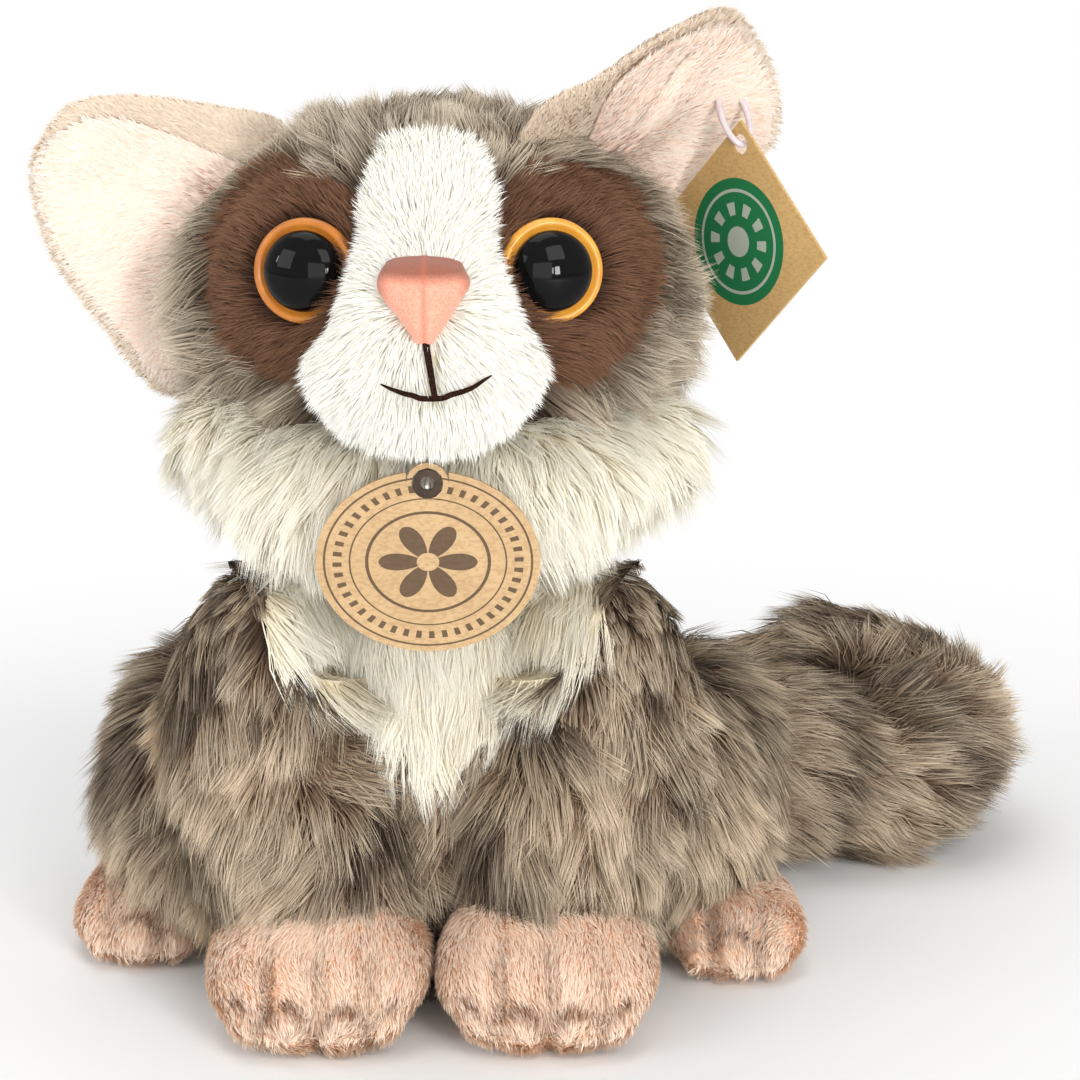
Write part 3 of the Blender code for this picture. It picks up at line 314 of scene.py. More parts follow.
def pile(
    name, form, material, body, thick, length, width, lift, comb, tone, seed, keep=None, hidden=(),
    swirl=0.5, lump=0.02, locks=34, gather=0.66, bend=0.35, soft=0.62, shape=None,
):
    """Pile as tapered fibres rooted in a backing.

    thick is fibres per square mm, lift the share of each that stands up, comb the way it is brushed,
    tone its shade from 0 to 1, locks how many lean together, gather how far they do so at their
    tips, soft how much they take the light as one surface, and shape what holds them back.
    """
    dice = np.random.default_rng(seed)
    corners = form["points"][form["tris"]]
    across = np.cross(corners[:, 1] - corners[:, 0], corners[:, 2] - corners[:, 0])
    square_mm = np.linalg.norm(across, axis=1) / 2 * 1e6
    middles = corners.mean(axis=1)
    shown = middles[:, 2] > 0.0012
    for other in hidden:
        shown[shown] = ~within(middles[shown], other, 0.0008)
    if keep is not None:
        shown &= keep(middles, 1.0) > 0
    chosen = np.repeat(np.arange(len(square_mm)), dice.poisson(square_mm * thick * shown))
    share = np.sqrt(dice.random(len(chosen)))[:, None]
    split = dice.random(len(chosen))[:, None]
    mix = np.hstack([1 - share, share * (1 - split), share * split])[:, :, None]
    root = (corners[chosen] * mix).sum(axis=1)
    normal = unit((form["normals"][form["tris"][chosen]] * mix).sum(axis=1))
    if keep is not None:
        kept = keep(root, 0.0) > 0
        root, normal = root[kept], normal[kept]
    count = len(root)

    lay = comb(root, normal)
    lay = unit(lay - normal * (lay * normal).sum(axis=1, keepdims=True))
    angle = (swirl * waves(root, lump, seed + 1) + 0.22 * dice.normal(size=count))[:, None]
    lay = lay * np.cos(angle) + np.cross(normal, lay) * np.sin(angle)
    stand = lift * (1 + 0.25 * waves(root, lump * 0.8, seed + 2)) + 0.10 * dice.normal(size=count)
    stand = np.clip(stand, 0.08, 0.97)[:, None]
    way = lay * np.sqrt(1 - stand * stand) + normal * stand
    long = length(root) if callable(length) else np.full(count, length)
    long = long * (0.72 + 0.5 * dice.random(count)) * (1 + 0.12 * waves(root, lump * 1.3, seed + 3))
    long = long[:, None]
    droop = bend * (0.6 * lay - 0.55 * normal + np.array([0, 0, -0.35]))

    leaders = dice.choice(count, max(1, count // locks), replace=False)
    finder = KDTree(len(leaders))
    for k, leader in enumerate(leaders):
        finder.insert(root[leader], k)
    finder.balance()
    own = leaders[np.array([finder.find(point)[1] for point in root])]

    shares, taper = (0.0, 0.55, 1.0), (1.0, 0.75)
    side = unit(np.cross(way, normal))
    twist = dice.uniform(-1.0, 1.0, count)[:, None]
    side = side * np.cos(twist) + np.cross(way, side) * np.sin(twist)
    broad = (width / 2 * (0.7 + 0.6 * dice.random(count)))[:, None]
    spine = []
    for s in shares:
        line = root + long * (way * s + droop * s * s)
        lead = line[own]
        line = line + (gather * s**1.4) * (lead - line) if s else line
        spine.append(shape(line) if shape else line)
    rows = []
    for s, line, narrow in zip(shares, spine, taper):
        rows += [line - side * broad * narrow, line + side * broad * narrow]
    rows.append(spine[-1])
    each = len(rows)
    points = np.stack(rows, axis=1)
    points[:, :, 2] = np.maximum(points[:, :, 2], 0.0003)

    corner = np.array([0, 1, 3, 2, 2, 3, 4])
    loops = (np.arange(count)[:, None] * each + corner).ravel()
    begin = (np.arange(count)[:, None] * len(corner) + [0, 4]).ravel()
    shade = np.clip(tone(root) + 0.13 * dice.normal(size=count), 0.012, 0.988)
    shade[:2] = 0.012, 0.988
    across = np.array([-0.006, 0.006, -0.006, 0.006, 0.0])
    climb = np.array([0.002, 0.002, shares[1], shares[1], 0.998])
    u = np.clip(shade[:, None] + across, 0.001, 0.999)[:, corner]
    v = np.repeat(climb[None], count, axis=0)[:, corner]

    mesh = bpy.data.meshes.new(name)
    mesh.vertices.add(count * each)
    mesh.vertices.foreach_set("co", points.astype(np.float32).ravel())
    mesh.loops.add(len(loops))
    mesh.loops.foreach_set("vertex_index", loops.astype(np.int32))
    mesh.polygons.add(len(begin))
    mesh.polygons.foreach_set("loop_start", begin.astype(np.int32))
    mesh.polygons.foreach_set("use_smooth", np.ones(len(begin), bool))
    baked = mesh.uv_layers.new(name="OFBake")
    baked.data.foreach_set("uv", np.stack([u, v], axis=-1).astype(np.float32).ravel())
    mesh.update(calc_edges=True)
    flat = unit(np.cross(side, way) + 0.25 * (dice.random((count, 3)) - 0.5))
    shading = unit(normal * soft + flat * (1 - soft))
    mesh.normals_split_custom_set_from_vertices(np.repeat(shading, each, axis=0).astype(np.float32))
    mesh.materials.append(material)
    return hung(name, mesh, body)


def srgb(*parts):
    """A colour as measured on a screen, as the shader takes it."""
    linear = [c / 255 / 12.92 if c <= 10 else ((c / 255 + 0.055) / 1.055) ** 2.4 for c in parts]
    return (*linear, 1.0)


def shared_effect(name, colours, values, height=False):
    """A node group with these colours and values in, and a colour out, with a height where asked."""
    group = bpy.data.node_groups.new(name, "ShaderNodeTree")
    for sockets, kind in ((colours, "NodeSocketColor"), (values, "NodeSocketFloat")):
        for socket in sockets:
            group.interface.new_socket(socket, in_out="INPUT", socket_type=kind)
    group.interface.new_socket("Colour", in_out="OUTPUT", socket_type="NodeSocketColor")
    if height:
        group.interface.new_socket("Height", in_out="OUTPUT", socket_type="NodeSocketFloat")
    return group, group.nodes.new("NodeGroupInput"), group.nodes.new("NodeGroupOutput")


# One fibre's colour: root, middle and tip along it, darker or lighter from fibre to fibre.
lock_shades, inside, outside = shared_effect("lock_shades", ("Root", "Middle", "Tip", "StainAndShade"), ("Spread",))
parts = added(lock_shades, "SeparateXYZ")
joined(lock_shades, (added(lock_shades, "UVMap", uv_map="OFBake").outputs["UV"], parts.inputs[0]))


def ranged(group, source, low, high, to_low=0.0, to_high=1.0):
    """A value spread from one range to another."""
    limits = {"From Min": low, "From Max": high, "To Min": to_low, "To Max": to_high}
    node = added(group, "MapRange", limits)
    group.links.new(source, node.inputs["Value"])
    return node.outputs["Result"]


def mixed(group, share, first, second):
    """Two colours mixed by a share; each is a socket or a colour."""
    node = added(group, "Mix", data_type="RGBA")
    sockets = (node.inputs[0], node.inputs[6], node.inputs[7])
    for socket, value in zip(sockets, (share, first, second)):
        if isinstance(value, bpy.types.NodeSocket):
            group.links.new(value, socket)
        else:
            socket.default_value = value
    return node.outputs[2]


lower = ranged(lock_shades, parts.outputs["Y"], 0.05, 0.5)
upper = ranged(lock_shades, parts.outputs["Y"], 0.45, 0.95)
# Low tones lean to the fourth colour: stains and marks on most piles, painted shade on the ears' front
# panels.
stain_and_shade_share = ranged(lock_shades, parts.outputs["X"], 0.55, 0.05)
stem = mixed(lock_shades, lower, inside.outputs["Root"], inside.outputs["Middle"])
stem = mixed(lock_shades, upper, stem, inside.outputs["Tip"])
stem = mixed(lock_shades, stain_and_shade_share, stem, inside.outputs["StainAndShade"])
lightness = added(lock_shades, "Math", {2: 1.0}, operation="MULTIPLY_ADD")
bright = added(lock_shades, "VectorMath", operation="SCALE")
joined(
    lock_shades,
    (ranged(lock_shades, parts.outputs["X"], 0.0, 1.0, -1.0, 1.0), lightness.inputs[0]),
    (inside.outputs["Spread"], lightness.inputs[1]),
    (stem, bright.inputs[0]),
    (lightness.outputs[0], bright.inputs["Scale"]),
    (bright.outputs[0], outside.inputs["Colour"]),
)


def fibre(name, root, middle, tip, stain_and_shade, spread):
    """Pile fibre of these colours."""
    made, nodes, shader = finish_of(name, 0.8, 0.25)
    shader.inputs["Sheen Weight"].default_value = 0.3
    shader.inputs["Sheen Roughness"].default_value = 0.5
    shader.inputs["Sheen Tint"].default_value = tip
    shades = nodes.nodes.new("ShaderNodeGroup")
    shades.node_tree = lock_shades
    for socket, colour in (("Root", root), ("Middle", middle), ("Tip", tip), ("StainAndShade", stain_and_shade)):
        shades.inputs[socket].default_value = colour
    shades.inputs["Spread"].default_value = spread
    nodes.links.new(shades.outputs["Colour"], shader.inputs["Base Color"])
    return made


# Knitted backing seen between the locks: rows of small loops in two close shades.
knit, inside, outside = shared_effect("knit", ("Thread", "Gap"), ("Fineness",), height=True)
spot = added(knit, "TexCoord")
stitches = added(knit, "TexVoronoi")
blotch = added(knit, "TexNoise", {"Scale": 90})
shade = ranged(knit, stitches.outputs["Distance"], 0.1, 0.6)
patchy = ranged(knit, blotch.outputs["Fac"], 0.35, 0.65, 0.0, 0.35)
tint = mixed(knit, shade, inside.outputs["Thread"], inside.outputs["Gap"])
joined(
    knit,
    (spot.outputs["Object"], stitches.inputs["Vector"]),
    (spot.outputs["Object"], blotch.inputs["Vector"]),
    (inside.outputs["Fineness"], stitches.inputs["Scale"]),
    (mixed(knit, patchy, tint, inside.outputs["Gap"]), outside.inputs["Colour"]),
    (stitches.outputs["Distance"], outside.inputs["Height"]),
)


def fabric(name, thread, gap, fineness=1400.0):
    """Backing fabric in these shades."""
    made, nodes, shader = finish_of(name, 0.95, 0.1)
    weave = nodes.nodes.new("ShaderNodeGroup")
    weave.node_tree = knit
    for socket, value in (("Thread", thread), ("Gap", gap), ("Fineness", fineness)):
        weave.inputs[socket].default_value = value
    bump = added(nodes, "Bump", {"Strength": 0.4, "Distance": 0.0003})
    joined(
        nodes,
        (weave.outputs["Colour"], shader.inputs["Base Color"]),
        (weave.outputs["Height"], bump.inputs["Height"]),
        (bump.outputs[0], shader.inputs["Normal"]),
    )
    return made


grey_backing = fabric("grey_backing", srgb(62, 48, 36), srgb(38, 29, 22))
cream_backing = fabric("cream_backing", srgb(236, 228, 206), srgb(218, 206, 178))
grey_pile = fibre(
    "grey_pile", srgb(46, 32, 23), srgb(118, 96, 74), srgb(208, 191, 166), srgb(62, 43, 31), 0.42
)
cream_pile = fibre(
    "cream_pile", srgb(243, 230, 200), srgb(252, 245, 225), srgb(254, 251, 240), srgb(242, 229, 198), 0.04
)

neck_lean, torso_height, torso_wide, torso_deep = 0.006, 0.098, 0.044, 0.034
torso_profile = (
    (0.00, 0.74, 0.72),
    (0.05, 0.92, 0.90),
    (0.22, 1.00, 1.00),
    (0.46, 0.93, 0.95),
    (0.66, 0.74, 0.84),
    (0.82, 0.55, 0.66),
    (0.93, 0.36, 0.44),
)
torso_rows = [
    (0, -neck_lean * h, torso_height * h, torso_wide * w, torso_deep * d) for h, w, d in torso_profile
]
torso = backing(*stuffed_tube(torso_rows, (0, 1, 0), (0.02, 0.3)), 0.0050)


def in_bib(points, soft=0.0):
    """Above 0 in the cream bib, a panel pointed at the bottom."""
    half = 0.030 * np.clip((points[:, 2] - 0.045) / 0.027, 0, 1) ** 0.85
    ragged = 0.0016 * waves(points, 0.006, 5)
    front = (points[:, 1] < -0.010) & (points[:, 2] > 0.045)
    return np.where(front, half - np.abs(points[:, 0]) + ragged + 0.002 * soft, -1.0)


def not_bib(points, soft=0.0):
    return -in_bib(points) + 0.002 * soft


# ---------------------------------------------------------------- head, patches and ruff
# The head is a stuffed ball of the same long pile, combed away from the face, with brown short-plush
# patches round the eyes and a thick cream ruff sewn on from cheek to cheek.

head_centre = np.array([0, -0.006, 0.124])
head_half = np.array([0.047, 0.040, 0.037])
ball_end, ball_fade = math.radians(36), math.radians(22)


def head_reach(ways):
    """The head's radius in each direction: an oval with a ball end where it sits in the neck."""
    oval = 1 / np.linalg.norm(ways / head_half, axis=-1)
    lean = np.arccos(np.clip(-ways[..., 2], -1, 1))
    share = np.clip((lean - ball_end) / ball_fade, 0, 1)
    share = share * share * (3 - 2 * share)
    return head_half[2] * (1 - share) + oval * share


heights = np.radians(np.linspace(-86, 86, 50))
rounds = np.linspace(0, 2 * np.pi, 90, endpoint=False)
level = np.cos(heights)[:, None]
upright = np.sin(heights)[:, None] + 0 * rounds
ways = np.stack([level * np.cos(rounds), level * np.sin(rounds), upright], axis=-1)
eye_places = {}
for side, sign in (("right", -1), ("left", 1)):
    x, z = sign * 0.021, 0.0115
    y = -head_half[1] * math.sqrt(1 - (x / head_half[0]) ** 2 - (z / head_half[2]) ** 2)
    facing = unit(np.array([sign * 0.24, -0.95, 0.14]))
    eye_places[side] = (head_centre + np.array([x, y, z]) - facing * 0.0026 * 0.9, facing)


def in_patch(points, soft=0.0):
    """Above 0 in the brown patches round the eyes."""
    best = np.full(len(points), -1.0)
    for side, sign in (("right", -1), ("left", 1)):
        back, _ = eye_places[side]
        dx = (points[:, 0] - back[0] - sign * 0.0012) / 0.0148
        dz = (points[:, 2] - back[2] + 0.0014) / 0.0158
        best = np.maximum(best, 1 - np.hypot(dx, dz))
    best = best + 0.05 * waves(points, 0.007, 9) + 0.1 * soft
    return np.where(points[:, 1] < -0.006, best, -1.0)


def patch_pile_place(points, soft=0.0):
    """The patches, but for the places that the eyes cover."""
    gaps = [np.linalg.norm(points - back, axis=1) for back, _ in eye_places.values()]
    clear = np.min(gaps, axis=0) > 0.0088
    return np.where(clear | (soft > 0), in_patch(points, soft), -1.0)


def head_sink(points):
    """The backing lies deeper under the long pile than under the patches."""
    return 0.0046 - 0.0024 * np.clip(in_patch(points) * 3 + 0.4, 0, 1)


crown = np.array([0, 0, head_half[2]])
head_form = ringed(head_centre + ways * head_reach(ways)[..., None], head_centre - crown,
head_centre + crown)
head = backing(*head_form, head_sink)

ruff_profile = ((0.0, 40, 0.94), (0.25, 41, 1.0), (0.5, 42, 1.04), (0.75, 38, 0.96), (1.0, 27, 0.68))
ruff_rows = []
for share, dip, size in [(-s, d, r) for s, d, r in ruff_profile[:0:-1]] + list(ruff_profile):
    turn, dip = math.radians(72) * share, math.radians(-dip)
    way = np.array([math.sin(turn) * math.cos(dip), -math.cos(turn) * math.cos(dip), math.sin(dip)])
    radius = size * 0.0135
    ruff_rows.append((*(head_centre + way * (head_reach(way) + 0.1 * radius)), radius, radius))
ruff = backing(*stuffed_tube(ruff_rows, (0, 0, 1), (0.8, 0.8)), 0.0040)


def on_head(z, out):
    """A point on the head's front middle line."""
    return head_centre + np.array([0, -head_half[1] * math.sqrt(1 - (z / head_half[2]) ** 2) - out, z])


reach, blaze, cheek, tall = 0.0165, 0.0120, 0.0205, 0.037
muzzle_rows = [
    (*on_head(0.82 * tall, -0.0020), 0.80 * blaze, 0.24 * reach),
    (*on_head(0.62 * tall, -0.0010), 1.00 * blaze, 0.32 * reach),
    (*on_head(0.42 * tall, 0.10 * reach), 0.98 * blaze, 0.45 * reach),
    (*on_head(0.20 * tall, 0.30 * reach), 0.74 * cheek, 0.66 * reach),
    (*on_head(-0.06 * tall, 0.26 * reach), 1.00 * cheek, 0.76 * reach),
    (*on_head(-0.25 * tall, 0.12 * reach), 0.84 * cheek, 0.68 * reach),
]
muzzle = backing(*stuffed_tube(muzzle_rows, (0, 1, 0), (0.7, 0.7), steps=7), 0.0020)

# ---------------------------------------------------------------- limbs and tail
# Sleeves of the same fabric: two forelegs in front, two sewn-down thighs at the sides, and a thick
# tail stuffed loosely enough to lie curled on the floor.


def toe_grooves(points, front, middle, half, lines):
    """How strongly the stitches between the toes draw the pile in at each point."""
    share = (points[:, 0] - middle) / half
    ahead = np.clip((front + 0.019 - points[:, 1]) / 0.010, 0, 1)
    return ahead * sum(np.exp(-(((share - line) * half / 0.0013) ** 2)) for line in lines)


def with_toes(points, front, middle, half, lines, depth):
    """A paw's front drawn in between the toes."""
    drawn = toe_grooves(points, front, middle, half, lines)
    points = points.copy()
    points[:, 1] += 0.8 * depth * drawn
    points[:, 2] -= 0.5 * depth * drawn * np.clip((points[:, 2] - 0.004) / 0.004, 0, 1)
    return points


shoulder_wide, shoulder_high, shoulder_fore = 0.0335, 0.0670, 0.0240
sleeve_wide, sleeve_deep = 0.021, 0.018
paw_high, paw_front, paw_middle, paw_half, paw_lines = 0.0260, -0.0606, 0.02015, 0.0200, (-0.48, 0.0, 0.48)
paw_profile = (
    (0.90, 0.62, 0.86), (0.72, 0.86, 1.0), (0.50, 1.0, 1.0), (0.27, 0.98, 0.80), (0.11, 0.80, 0.52)
)
foot_high, foot_middle, foot_half, foot_lines = 0.0160, 0.0550, 0.0135, (-0.40, 0.30)
foot_fores = {"right": 0.0180, "left": 0.0260}
foot_profile = ((0.90, 0.70, 0.90), (0.62, 0.94, 1.0), (0.28, 1.0, 0.90), (0.10, 0.78, 0.62))
thigh_wide, thigh_high, thigh_long = 0.0205, 0.02825, 0.033
forelegs, paws, thighs, feet = {}, {}, {}, {}
for side, sign in (("right", -1), ("left", 1)):
    top = np.array([sign * shoulder_wide, -shoulder_fore, shoulder_high])
    rows = [
        (*(top + (-sign * 0.0095, 0.0020, 0.0060)), 0.0115, 0.0120),
        (*(top + (-sign * 0.0040, 0, 0)), 0.0165, 0.0160),
        (sign * 0.02905, top[1] - 0.0020, 0.0469, 0.93 * sleeve_wide, 0.97 * sleeve_deep),
        (sign * 0.0241, top[1] - 0.0048, 0.0334, sleeve_wide, sleeve_deep),
        (sign * 0.0226, top[1] - 0.0070, paw_high, 0.94 * sleeve_wide, 0.92 * sleeve_deep),
    ]
    forelegs[side] = backing(*stuffed_tube(rows, (0, 1, 0), (1.0, 1.0), steps=9), 0.0046)
    rows = []
    for back, wide, high in paw_profile:
        rise = high * paw_high / 2
        rows.append((sign * paw_middle, paw_front + back * 0.045, rise - 0.0005, wide * paw_half, rise))
    points, faces = stuffed_tube(rows, (0, 0, 1), (0.8, 0.8), segments=128, steps=12)
    points = with_toes(points, paw_front, sign * paw_middle, paw_half, paw_lines, 0.0024)
    paws[side] = backing(points, faces, 0.0012)
    rows = []
    for k in range(9):
        turn = math.radians(-80 + 20 * k)
        wide, high = thigh_wide * math.cos(turn), thigh_high * math.cos(turn)
        rows.append((sign * 0.0445, 0.011 + thigh_long * math.sin(turn), 0.02775, wide, high))
    thighs[side] = backing(*stuffed_tube(rows, (0, 0, 1), (0.15, 0.15)), 0.0048)
    rows = []
    for back, wide, high in foot_profile:
        rise = high * foot_high / 2
        length = -foot_fores[side] + back * 0.0420
        rows.append((sign * foot_middle, length, rise - 0.0005, wide * foot_half, rise))
    points, faces = stuffed_tube(rows, (0, 0, 1), (0.8, 0.8), segments=96, steps=12)
    points = with_toes(points, -foot_fores[side], sign * foot_middle, foot_half, foot_lines, 0.0020)
    feet[side] = backing(points, faces, 0.0012)

tail_thick, curl_thick, tail_bend, tail_back, tail_lift = 0.0205, 0.0165, 0.0185, 0.0475, 0.0090
tail_root, tail_run = np.array([0.016, 0.030, 0.026]), 0.064
rest = tail_thick - 0.0005
root_back = (tail_root[1] + 2 * tail_back) / 3
tail_rows = [
    (*tail_root, 0.0150, 0.0150),
    (tail_root[0] + 0.22 * tail_run, root_back, rest + 0.003, 0.86 * tail_thick, 0.86 * tail_thick),
    (tail_root[0] + 0.50 * tail_run, tail_back, rest, tail_thick, tail_thick),
    (tail_root[0] + 0.78 * tail_run, tail_back, rest - 0.0005, 0.97 * tail_thick, 0.97 * tail_thick),
]
low = curl_thick - 0.0005
for i in range(6):
    turn = math.pi * i / 5
    size = curl_thick * (1.04 - 0.08 * i / 5)
    x = tail_root[0] + tail_run + math.sin(turn) * tail_bend
    y = tail_back + tail_bend - math.cos(turn) * tail_bend
    tail_rows.append((x, y, low + 0.0015 + tail_lift * i / 5, size, size))
tip = 0.72 * curl_thick
tail_rows.append((tail_root[0] + 0.054, tail_back + 2 * tail_bend, low + 0.0015 + tail_lift, tip, tip))
tail = backing(*stuffed_tube(tail_rows, (0, 0, 1), (1.0, 1.0)), 0.0050)

whole_forms = {"torso": torso, "head": head, "muzzle": muzzle, "ruff": ruff, "tail": tail}
trees = {name: tree_of(form) for name, form in whole_forms.items()}
for side in ("right", "left"):
    for name, forms in (("foreleg", forelegs), ("paw", paws), ("thigh", thighs), ("foot", feet)):
        trees[name + "_" + side] = tree_of(forms[side])


def others(*names):
    return [trees[name] for name in names]


def grey_tone(seed, base=0.5, uneven=1.0):
    """Patchy shades: broad light and dark areas with finer ones in them."""

    def tone(points):
        return base + uneven * (0.20 * waves(points, 0.030, seed) + 0.16 * waves(points, 0.009, seed + 1))

    return tone


def down(points, normals):
    """Brushed down and a little outwards."""
    outwards = np.stack([points[:, 0] * 6, points[:, 1] * 3, 0 * points[:, 2]], axis=-1)
    return np.array([0, 0, -1.0]) + outwards


piece = sewn("torso_backing", torso, grey_backing, "torso", cream_backing, in_bib)
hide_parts("torso_cover", "torso_filling", "seat_pellet_bag")
piece = pile(
    "torso_pile", torso, grey_pile, "torso", 5.6, 0.0125, 0.00027, 0.50, down, grey_tone(21, 0.50, 1.4), 20,
    keep=not_bib,
    hidden=others(
        "head", "ruff", "foreleg_right", "foreleg_left", "thigh_right", "thigh_left", "tail",
        "paw_right", "paw_left"
    ),
)


def behind_card(points):
    """Pile that would come through the chest card lies flat behind it."""
    oval = (points[:, 0] / 0.0203) ** 2 + ((points[:, 2] - 0.0879) / 0.0170) ** 2 < 1
    tab = (np.abs(points[:, 0]) < 0.0050) & (np.abs(points[:, 2] - 0.1015) < 0.0058)
    held = points.copy()
    held[:, 1] = np.where(oval | tab, np.maximum(points[:, 1], -0.0499), points[:, 1])
    return held


def bib_comb(points, normals):
    """Down, and in towards the bib's point."""
    return np.stack([-points[:, 0] * 5, 0 * points[:, 0], -np.ones(len(points))], axis=-1)


piece = pile(
    "bib_pile", torso, cream_pile, "torso", 7.5, 0.0125, 0.00026, 0.50, bib_comb, grey_tone(31, 0.62), 30,
    keep=in_bib, hidden=others("head", "ruff"), swirl=0.3, shape=behind_card,
)
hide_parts("chest_bib")


def shoulder_length(points):
    """Shorter on top of the shoulders, where the ruff covers them."""
    return 0.0125 - 0.0075 * np.clip((points[:, 2] - 0.062) / 0.012, 0, 1)


for side, sign in (("right", -1), ("left", 1)):
    piece = sewn(
        "foreleg_backing_" + side, forelegs[side], grey_backing, "foreleg_" + side, cream_backing, in_bib
    )
    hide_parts("foreleg_" + side, "foreleg_filling_" + side)
    piece = pile(
        "foreleg_pile_" + side, forelegs[side], grey_pile, "foreleg_" + side, 6.4, shoulder_length,
        0.00027, 0.46,
        down, grey_tone(41 + sign, 0.54, 1.5), 40 + sign, keep=not_bib,
        hidden=others("torso", "thigh_" + side, "paw_" + side, "ruff"), swirl=0.75, lump=0.018,
    )
    piece = pile(
        "bib_edge_pile_" + side, forelegs[side], cream_pile, "foreleg_" + side, 7.5, 0.0120, 0.00026, 0.45,
        bib_comb, grey_tone(35 + sign, 0.62), 36 + sign, keep=in_bib, hidden=others("torso", "ruff"),
        swirl=0.3, shape=behind_card,
    )
    piece = sewn("thigh_backing_" + side, thighs[side], grey_backing, "torso")
    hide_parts("hind_leg_" + side, f"hind_leg_{side}_filling")
    piece = pile(
        "thigh_pile_" + side, thighs[side], grey_pile, "torso", 5.8, 0.0125, 0.00027, 0.50,
        down, grey_tone(51 + sign, 0.52, 1.3), 50 + sign,
        hidden=others("torso", "foreleg_" + side, "foot_" + side, "tail"), swirl=0.6,
    )

tail_line = smoothed(tail_rows, 6)[:, :3]
tail_ways = unit(np.gradient(tail_line, axis=0))
tail_lengths = np.concatenate([[0], np.cumsum(np.linalg.norm(np.diff(tail_line, axis=0), axis=1))])


def nearest_on_tail(points):
    return np.linalg.norm(points[:, None] - tail_line[None], axis=2).argmin(axis=1)


def tail_comb(points, normals):
    """Along the tail towards its tip."""
    return tail_ways[nearest_on_tail(points)] + np.array([0, 0, -0.15])


def tail_tone(points):
    """Light and dark bands round the tail, uneven along it."""
    along = tail_lengths[nearest_on_tail(points)]
    bands = np.sin(along / 0.0215 * 2 * np.pi + 0.7 * waves(points, 0.03, 61))
    return 0.50 + 0.22 * bands + 0.15 * waves(points, 0.010, 62)


piece = sewn("tail_backing", tail, grey_backing, "tail")
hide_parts("tail", "tail_filling")
piece = pile(
    "tail_pile", tail, grey_pile, "tail", 5.8, 0.0135, 0.00028, 0.50, tail_comb, tail_tone, 60,
    hidden=others("torso", "thigh_left"), swirl=0.35,
)


def from_face(points, normals):
    """Brushed away from the muzzle all round, and down at the back."""
    away = unit(points - np.array([0, -0.044, 0.126]))
    back = np.clip((points[:, 1:2] + 0.005) / 0.03, 0, 1)
    return away + np.array([0, 0, -1.0]) * (0.15 + 0.9 * back)


def head_grey(points, soft=0.0):
    """All but the patches and the strip between them, which the muzzle covers."""
    x, y, z = points.T
    between = (np.abs(x) < 0.018) & (y < -0.02) & (np.abs(z - 0.128) < 0.018)
    return np.where(between, -1.0, 0.04 - in_patch(points) + 0.1 * soft)


piece = sewn("head_backing", head, grey_backing, "head")
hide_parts("head_cover", "head_filling")
crown_pile = fibre(
    "crown_pile", srgb(64, 51, 41), srgb(136, 120, 101), srgb(212, 199, 178), srgb(88, 71, 57), 0.28
)
piece = pile(
    "head_pile", head, crown_pile, "head", 6.6, 0.0122, 0.00026, 0.54, from_face, grey_tone(71, 0.62), 70,
    keep=head_grey, hidden=others("muzzle", "ruff", "torso"), swirl=0.5,
)

brown_pile = fibre(
    "brown_pile", srgb(46, 28, 18), srgb(88, 58, 40), srgb(128, 92, 68), srgb(60, 38, 26), 0.24
)
piece = pile(
    "patch_pile", head, brown_pile, "head", 10.0, 0.0060, 0.00024, 0.62, from_face, grey_tone(81, 0.62,
    0.6), 80,
    keep=patch_pile_place, hidden=others("muzzle"), swirl=0.3, locks=10, gather=0.35,
)
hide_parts("eye_patch_left", "eye_patch_right")


def ruff_comb(points, normals):
    """Down and out from under the chin."""
    return np.stack([points[:, 0] * 14, -0.25 + 0 * points[:, 0], -np.ones(len(points))], axis=-1)


piece = sewn("ruff_backing", ruff, cream_backing, "head")
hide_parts("cheek_ruff")
piece = pile(
    "ruff_pile", ruff, cream_pile, "head", 8.0, 0.0112, 0.00026, 0.52, ruff_comb, grey_tone(91, 0.72,
    0.6), 90,
    hidden=others("head", "muzzle"), swirl=0.35, shape=behind_card,
)

# ---------------------------------------------------------------- muzzle and blaze
# White short plush over its own stuffing, from a strip up the forehead down to a round chin. The pile
# is brushed back from the nose.

white_pile = fibre(
    "white_pile", srgb(222, 216, 198), srgb(243, 240, 228), srgb(252, 251, 246), srgb(226, 214, 190), 0.05
)


def from_nose(points, normals):
    away = unit(points - np.array([0, -0.064, 0.134]))
    return away + np.array([0, 0, -0.1])


def off_the_mouth(points, soft=0.0):
    """Above 0 away from the mouth's two lines of thread."""
    x, z = points[:, 0], points[:, 2]
    beside = np.where((z > 0.1190) & (z < 0.1290), np.abs(x - 0.0008), 1.0)
    under = np.where(np.abs(x - 0.0010) < 0.0085, np.abs(z - 0.1193 - 0.0020 * (x / 0.0075) ** 2), 1.0)
    return np.where(points[:, 1] < -0.045, np.minimum(beside, under) - 0.0008 + 0.002 * soft, 1.0)


piece = sewn("muzzle_backing", muzzle, cream_backing, "head")
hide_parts("muzzle", "muzzle_filling")
piece = pile(
    "muzzle_pile", muzzle, white_pile, "head", 9.5, 0.0044, 0.00024, 0.66, from_nose,
    grey_tone(101, 0.78, 0.5), 100, keep=off_the_mouth, hidden=others("head"),
    swirl=0.25, locks=10, gather=0.3,
)

# ---------------------------------------------------------------- paws and feet
# Peach short plush, stuffed flat, with the toes drawn in by stitches and airbrushed brown.

peach_backing = fabric("peach_backing", srgb(246, 212, 182), srgb(234, 190, 156))
peach_pile = fibre(
    "peach_pile", srgb(246, 210, 180), srgb(251, 222, 196), srgb(254, 236, 218), srgb(128, 76, 40), 0.03
)


def forward(points, normals):
    return np.stack([points[:, 0] * 0, -np.ones(len(points)), -0.3 + 0 * points[:, 0]], axis=-1)


